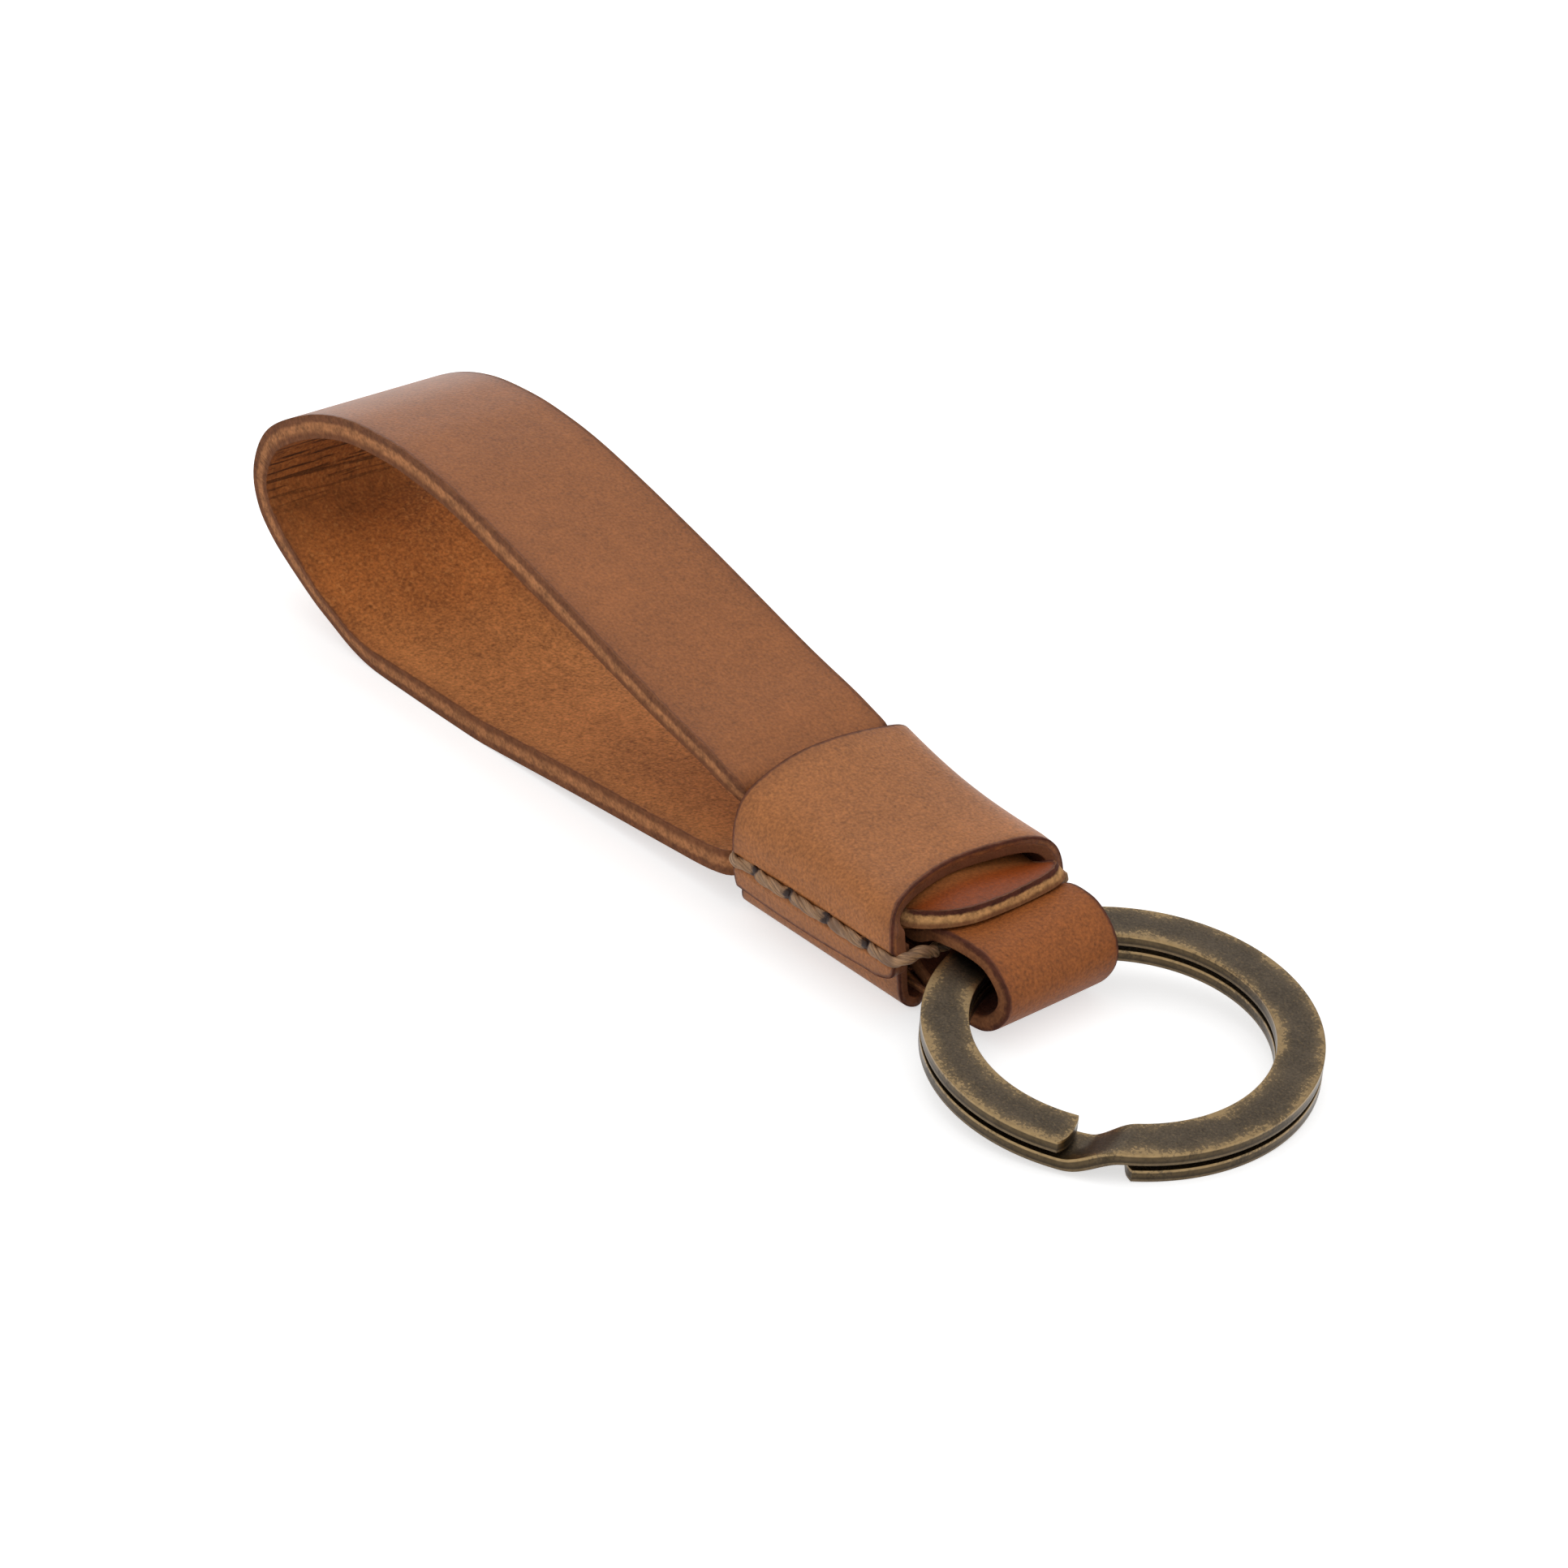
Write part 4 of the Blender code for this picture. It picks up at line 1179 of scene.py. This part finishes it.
def shaded(colour, factors):
    """A colour with each of its channels made lighter or darker, and its alpha."""
    return (*(channel * factor for channel, factor in zip(colour, factors)), 1)


def tinted(colour, factor):
    """A colour made lighter or darker, with its alpha."""
    return shaded(colour, (factor,) * 3)


def grain_colour(tree, colour, speckle):
    """Smooth leather: broad clouding, fine mottling and small golden flecks."""
    tone = varied(tree, colour, CLOUDING + ((MOTTLE_SIZE, speckle, 2),))
    flecks = ramped(tree, noise(tree, 0.32 * MM, 2), 0.55, 0.75, 0.0, 0.35 * speckle)
    return blended(tree, flecks, tone, shaded(colour, GRAIN_FLECK))


def flesh_colour(tree, colour, warm):
    """Brushed leather: matted fibres with golden flecks, redder and creased inside the bend."""
    strap = bpy.context.scene.keychain_strap
    wrap = bpy.context.scene.keychain_wrap
    fold = ORIGIN.x - wrap.length - strap.loop_length + strap.thickness
    place = node(tree, "ShaderNodeSeparateXYZ", None, {0: object_place(tree)}).outputs
    golden = varied(tree, colour, FLESH_GRAINS)
    reddish = varied(tree, warm, FLESH_GRAINS)
    patches = times(tree, noise(tree, 7 * MM, 2), 14 * MM)
    along = maths(tree, "ADD", place["X"], patches)
    cooled = ramped(tree, along, *(fold + inset for inset in WARM_FADE))
    tone = blended(tree, cooled, reddish, golden)
    flecks = ramped(tree, noise(tree, 0.45 * MM, 2), 0.54, 0.72, 0.0, 0.55)
    tone = blended(tree, flecks, tone, shaded(colour, FLESH_FLECK))
    bend = ramped(tree, place["X"], *(fold + inset for inset in BEND_FADE), 1.0, 0.0)
    rise = (share * strap.loop_height for share in CREASE_RISE_SHARES)
    raised = ramped(tree, place["Z"], *rise)
    lines = noise(tree, 1, 3, stretched(tree, 0.5 * MM, 8 * MM))
    creases = times(tree, ramped(tree, lines, 0.5, 0.62), times(tree, bend, raised))
    # Painted shade: darker towards the inside of the bend, and near-black in its creases
    tone = blended(tree, times(tree, bend, 0.35), tone, tinted(warm, 0.3))
    return blended(tree, times(tree, creases, 0.85), tone, tinted(warm, 0.06)), creases


def object_place(tree):
    """The place on the piece in metres."""
    return node(tree, "ShaderNodeTexCoord").outputs["Object"]


def leather(name, colours, speckle, gloss, border, dark_rim):
    """Tanned leather with a grain side, a flesh side, redder in its bend, and burnished edges."""
    grain, back, warm = colours
    finish = bpy.context.scene.keychain_finish
    material, shader = new_material(name)
    tree = material.node_tree
    depth = attribute(tree, "depth")
    edge = attribute(tree, "edge")
    wobble = uneven(tree, 0.9 * MM, 4, 0.6)
    layer = maths(tree, "ADD", depth, times(tree, wobble, 0.5))
    inset = maths(tree, "ADD", edge, times(tree, wobble, 0.3 * MM))
    on_rim = ramped(tree, inset, *RIM_FADE, 1.0, 0.0)
    on_face = rest_of(tree, on_rim)
    on_back = times(tree, ramped(tree, depth, *BACK_FADE), on_face)
    on_grain = maths(tree, "SUBTRACT", on_face, on_back)
    dark = varied(tree, finish.burnish_and_hole_shade, BURNISH_GRAINS)
    stain = blended(tree, 0.3, dark, tinted(grain, 0.8))

    tongue = attribute(tree, "tongue")
    face = grain_colour(tree, grain, speckle)
    face = blended(tree, tongue, face, grain_colour(tree, finish.tongue, speckle))
    flesh, creases = flesh_colour(tree, back, warm)
    raw = varied(tree, finish.core, CORE_GRAINS)
    bright = varied(tree, finish.raw, RAW_GRAINS)
    raw = blended(tree, tongue, raw, bright)
    from_back = ramped(tree, layer, *STAIN_FADE, 0.0, 0.8)
    raw = blended(tree, maths(tree, "MAXIMUM", from_back, dark_rim), raw, stain)
    colour = blended(tree, on_rim, blended(tree, on_back, face, flesh), raw)

    rim_line = times(tree, ramped(tree, layer, *RIM_LINE_FADE, 1.0, 0.0), on_rim)
    face_line = times(tree, ramped(tree, inset, *LINE_FADE, 1.0, 0.0), on_grain)
    line = maths(tree, "MAXIMUM", rim_line, face_line)
    line = times(tree, line, maths(tree, "MAXIMUM", tongue, border))
    soft = times(tree, ramped(tree, inset, *SHADE_FADE, 0.25, 0.0), on_face)
    # Painted shade, in the burnish colour: dark in the stitch pits, fainter along the dent
    stitch_shade = ramped(tree, attribute(tree, "stitch"), 0.3, 0.95, 0.0, 1.0)
    colour = blended(tree, soft, colour, stain)
    colour = blended(tree, maths(tree, "MAXIMUM", line, stitch_shade), colour, dark)

    matt = maths(tree, "MAXIMUM", on_back, on_rim)
    roughness = ramped(tree, matt, 0.0, 1.0, gloss, FIBRE_ROUGHNESS)
    feed(tree, shader, {"Base Color": colour, "Roughness": roughness})
    feed(tree, shader, {"Specular IOR Level": LEATHER_SPECULAR})
    fine = noise(tree, 0.3 * MM, 3, roughness=0.6)
    fibres = maths(tree, "SUBTRACT", noise(tree, 0.42 * MM, 4, roughness=0.7), creases)
    height = blended(tree, matt, fine, fibres)
    strength = ramped(tree, matt, 0.0, 1.0, 0.3 * speckle, 1.0)
    add_bump(tree, shader, strength, LEATHER_RELIEF, height)
    return material


def strap_leather():
    """The strap's smooth leather."""
    finish = bpy.context.scene.keychain_finish
    colours = (finish.strap, finish.flesh, finish.warm_flesh)
    return leather("strap_grain", colours, speckle=1.2, gloss=0.43, border=0.65, dark_rim=0.0)


def wrap_leather():
    """The wrap's lighter, more mottled leather."""
    finish = bpy.context.scene.keychain_finish
    colours = (finish.wrap, finish.lining, finish.lining)
    return leather("wrap_grain", colours, speckle=1.4, gloss=0.47, border=0.95, dark_rim=0.95)


def ring_loop_leather():
    """The ring loop's redder leather."""
    finish = bpy.context.scene.keychain_finish
    colours = (finish.ring_loop, finish.lining, finish.lining)
    return leather("ring_loop_grain", colours, speckle=1.5, gloss=0.55, border=0.95, dark_rim=0.5)


def waxed_thread():
    """Waxed thread with lengthwise fibres, with painted shade at the holes."""
    finish = bpy.context.scene.keychain_finish
    material, shader = new_material("waxed_fibres")
    tree = material.node_tree
    fibres = noise(tree, 1, 4, stretched(tree, 1.8 * MM, 0.2 * MM), 0.65)
    pale = tinted(finish.thread, 1.5)
    tone = blended(tree, ramped(tree, fibres, 0.34, 0.68), tinted(finish.thread, 0.45), pale)
    wax = ramped(tree, noise(tree, 1.6 * MM, 3), 0.42, 0.62, 0.0, 0.75)
    colour = blended(tree, wax, tone, tinted(finish.wax, 1))
    # Painted shade: near-black where the thread dives into the stitch holes
    ragged = times(tree, uneven(tree, 0.5 * MM, 3), 1.3)
    near_hole = maths(tree, "ADD", attribute(tree, "stitch"), ragged)
    holes = ramped(tree, near_hole, 0.3, 0.75, 0.0, 0.97)
    colour = blended(tree, holes, colour, tinted(finish.burnish_and_hole_shade, 0.25))
    feed(tree, shader, {"Base Color": colour, "Roughness": THREAD_ROUGHNESS})
    feed(tree, shader, {"Specular IOR Level": THREAD_SPECULAR})
    add_bump(tree, shader, 0.8, THREAD_RELIEF, fibres)
    return material


def antique_brass():
    """Dark antique brass, worn, with painted highlight on its upper corners, flecked all over."""
    ring = bpy.context.scene.keychain_ring
    finish = bpy.context.scene.keychain_finish
    material, shader = new_material("antique_patina")
    tree = material.node_tree
    depth = attribute(tree, "depth")
    edge = attribute(tree, "edge")
    to_flat = maths(tree, "MINIMUM", depth, rest_of(tree, depth))
    on_wall = ramped(tree, times(tree, to_flat, ring.wire), *WALL_SHADE_FADE)
    # Painted highlight: the rubbed brass shows brighter on the upper corners than on the lower
    upper = ramped(tree, depth, 0.4, 0.8, 1.0, 0.25)
    speckle = uneven(tree, 0.26 * MM, 3, 0.6)
    patches = uneven(tree, 3.5 * MM, 2)
    spread = maths(tree, "ADD", times(tree, speckle, 3), times(tree, patches, 2.2))
    edge = maths(tree, "ADD", edge, times(tree, spread, 1 * MM))
    haze = ramped(tree, edge, *HAZE_FADE, 0.3, 0.0)
    line = ramped(tree, edge, *RUB_AND_HIGHLIGHT_FADE, 0.4, 0.0)
    rubbed_and_highlight = times(tree, maths(tree, "ADD", haze, line), upper)
    flecks = times(tree, ramped(tree, speckle, 0.02, 0.2), 0.16)
    share = maths(tree, "ADD", rubbed_and_highlight, flecks)
    shades = varied(tree, finish.patina, PATINA_GRAINS)
    colour = blended(tree, share, shades, varied(tree, finish.brass, BRASS_GRAINS))
    # Painted shade: the side walls are darker than the flat faces
    wall_shade = varied(tree, tinted(finish.patina, 0.4), RING_WALL_GRAINS)
    colour = blended(tree, times(tree, on_wall, 0.8), colour, wall_shade)
    roughness = ramped(tree, share, 0.0, 0.8, PATINA_ROUGHNESS, BRASS_ROUGHNESS)
    feed(tree, shader, {"Base Color": colour, "Metallic": 1.0, "Roughness": roughness})
    add_bump(tree, shader, 0.2, BRASS_RELIEF, noise(tree, 0.3 * MM, 3))
    return material


def floor_surface():
    """White floor that shows as white to the camera and keeps soft shadows."""
    material, shader = new_material("floor_paper")
    tree = material.node_tree
    path = node(tree, "ShaderNodeLightPath")
    seen = maths(tree, "MAXIMUM", path.outputs["Is Camera Ray"], path.outputs["Is Glossy Ray"])
    seen = maths(tree, "MAXIMUM", seen, path.outputs["Is Transmission Ray"])
    paper = blended(tree, seen, PAPER, PAPER_SEEN)
    feed(tree, shader, {"Base Color": paper, "Roughness": 1.0, "Specular IOR Level": 0.0})
    glow = times(tree, seen, PAPER_GLOW)
    feed(tree, shader, {"Emission Color": WHITE, "Emission Strength": glow})
    return material


def add_camera():
    """The camera at the photograph's angle."""
    stage = bpy.context.scene.keychain_stage
    a, e, r = stage.azimuth, stage.elevation, stage.roll
    back = Vector((sin(a) * cos(e), -cos(a) * cos(e), sin(e)))
    level = Vector((cos(a), sin(a), 0))
    upright = back.cross(level)
    right = level * cos(r) + upright * sin(r)
    up = upright * cos(r) - level * sin(r)
    data = bpy.data.cameras.new("camera")
    data.lens = stage.lens
    data.sensor_width = SENSOR_WIDTH
    data.clip_start = CLIP_START
    camera = bpy.data.objects.new("camera", data)
    bpy.context.scene.collection.objects.link(camera)
    turn = Matrix((right, up, back)).transposed().to_4x4()
    camera.matrix_world = Matrix.Translation(Vector(stage.aim) + back * stage.distance) @ turn
    bpy.context.scene.camera = camera


def add_lamp(name, place, size, power):
    """A soft square lamp that faces the object."""
    data = bpy.data.lights.new(name, "AREA")
    data.size = size
    data.energy = power
    lamp = bpy.data.objects.new(name, data)
    bpy.context.scene.collection.objects.link(lamp)
    lamp.location = place
    lamp.rotation_euler = Vector(place).to_track_quat("Z", "Y").to_euler()


def add_world():
    """An even white surrounding, brightest low behind the object and dimmer above that."""
    stage = bpy.context.scene.keychain_stage
    world = bpy.data.worlds.new("surrounding")
    world.use_nodes = True
    bpy.context.scene.world = world
    tree = world.node_tree
    direction = node(tree, "ShaderNodeTexCoord").outputs["Generated"]
    behind = Vector((-sin(stage.azimuth), cos(stage.azimuth), tan(stage.elevation))).normalized()
    settings = {"operation": "DOT_PRODUCT"}
    product = node(tree, "ShaderNodeVectorMath", settings, {0: direction, 1: behind})
    towards = ramped(tree, product.outputs["Value"], 0.5, 0.9)
    up = node(tree, "ShaderNodeSeparateXYZ", None, {0: direction}).outputs["Z"]
    dim = times(tree, towards, ramped(tree, up, 0.1, 0.35))
    glow = times(tree, towards, ramped(tree, up, 0.0, 0.25, stage.glow, 0.0))
    sky = maths(tree, "ADD", ramped(tree, dim, 0.0, 1.0, stage.sky, stage.sky_behind), glow)
    seen = node(tree, "ShaderNodeLightPath").outputs["Is Camera Ray"]
    inputs = {MIX_SHARE: seen, MIX_VALUE_A: sky, MIX_VALUE_B: 1.0}
    strength = node(tree, "ShaderNodeMix", None, inputs).outputs[MIX_VALUE]
    feed(tree, tree.nodes["Background"], {"Color": WHITE, "Strength": strength})


def make_stage():
    """The floor, the camera and the lights."""
    stage = bpy.context.scene.keychain_stage
    bpy.ops.object.select_all(action="DESELECT")
    bpy.ops.mesh.primitive_plane_add(size=FLOOR_SIZE)
    floor = bpy.context.object
    floor.name = "floor"
    floor.data.materials.append(floor_surface())
    add_camera()
    add_lamp("overhead", OVERHEAD_PLACE, OVERHEAD_SIZE, stage.overhead)
    add_lamp("rear", REAR_PLACE, REAR_SIZE, stage.rear)
    add_world()
    bpy.context.scene.view_settings.view_transform = "Standard"


class KEYCHAIN_OT_strap(Operator):
    """Adds the folded strap"""

    bl_idname = "keychain.strap"
    bl_label = "Strap"

    def execute(self, context):
        make_strap()
        return {"FINISHED"}


class KEYCHAIN_OT_wrap(Operator):
    """Adds the stitched wrap"""

    bl_idname = "keychain.wrap"
    bl_label = "Wrap"

    def execute(self, context):
        make_wrap()
        return {"FINISHED"}


class KEYCHAIN_OT_ring_loop(Operator):
    """Adds the small loop that holds the ring"""

    bl_idname = "keychain.ring_loop"
    bl_label = "Ring loop"

    def execute(self, context):
        make_ring_loop()
        return {"FINISHED"}


class KEYCHAIN_OT_thread(Operator):
    """Adds the waxed thread"""

    bl_idname = "keychain.thread"
    bl_label = "Thread"

    def execute(self, context):
        make_thread()
        return {"FINISHED"}


class KEYCHAIN_OT_split_ring(Operator):
    """Adds the split ring"""

    bl_idname = "keychain.split_ring"
    bl_label = "Split ring"

    def execute(self, context):
        make_split_ring()
        return {"FINISHED"}


class KEYCHAIN_OT_stage(Operator):
    """Adds the floor, the camera and the lights"""

    bl_idname = "keychain.stage"
    bl_label = "Stage"

    def execute(self, context):
        make_stage()
        return {"FINISHED"}


class KEYCHAIN_PT_pieces(Panel):
    """Lists the keychain's pieces"""

    bl_idname = "KEYCHAIN_PT_pieces"
    bl_label = "Leather Keychain"
    bl_space_type = "VIEW_3D"
    bl_region_type = "UI"
    bl_category = "Keychain"

    def draw(self, context):
        for operator in OPERATORS:
            self.layout.operator(operator.bl_idname)


SETTINGS = {
    "keychain_strap": StrapSettings,
    "keychain_wrap": WrapSettings,
    "keychain_ring_loop": RingLoopSettings,
    "keychain_thread": ThreadSettings,
    "keychain_ring": RingSettings,
    "keychain_finish": FinishSettings,
    "keychain_stage": StageSettings,
}
OPERATORS = (
    KEYCHAIN_OT_strap,
    KEYCHAIN_OT_wrap,
    KEYCHAIN_OT_ring_loop,
    KEYCHAIN_OT_thread,
    KEYCHAIN_OT_split_ring,
    KEYCHAIN_OT_stage,
)


def register():
    """Registers the settings, the operators and the panel."""
    for name, group in SETTINGS.items():
        bpy.utils.register_class(group)
        setattr(bpy.types.Scene, name, PointerProperty(type=group))
    for operator in OPERATORS:
        bpy.utils.register_class(operator)
    bpy.utils.register_class(KEYCHAIN_PT_pieces)


def unregister():
    """Takes away what register added."""
    bpy.utils.unregister_class(KEYCHAIN_PT_pieces)
    for operator in reversed(OPERATORS):
        bpy.utils.unregister_class(operator)
    for name, group in SETTINGS.items():
        delattr(bpy.types.Scene, name)
        bpy.utils.unregister_class(group)


def main():
    """Builds the keychain and its stage."""
    register()
    bpy.ops.keychain.strap()
    bpy.ops.keychain.wrap()
    bpy.ops.keychain.ring_loop()
    bpy.ops.keychain.thread()
    bpy.ops.keychain.split_ring()
    bpy.ops.keychain.stage()


if __name__ == "__main__":
    main()
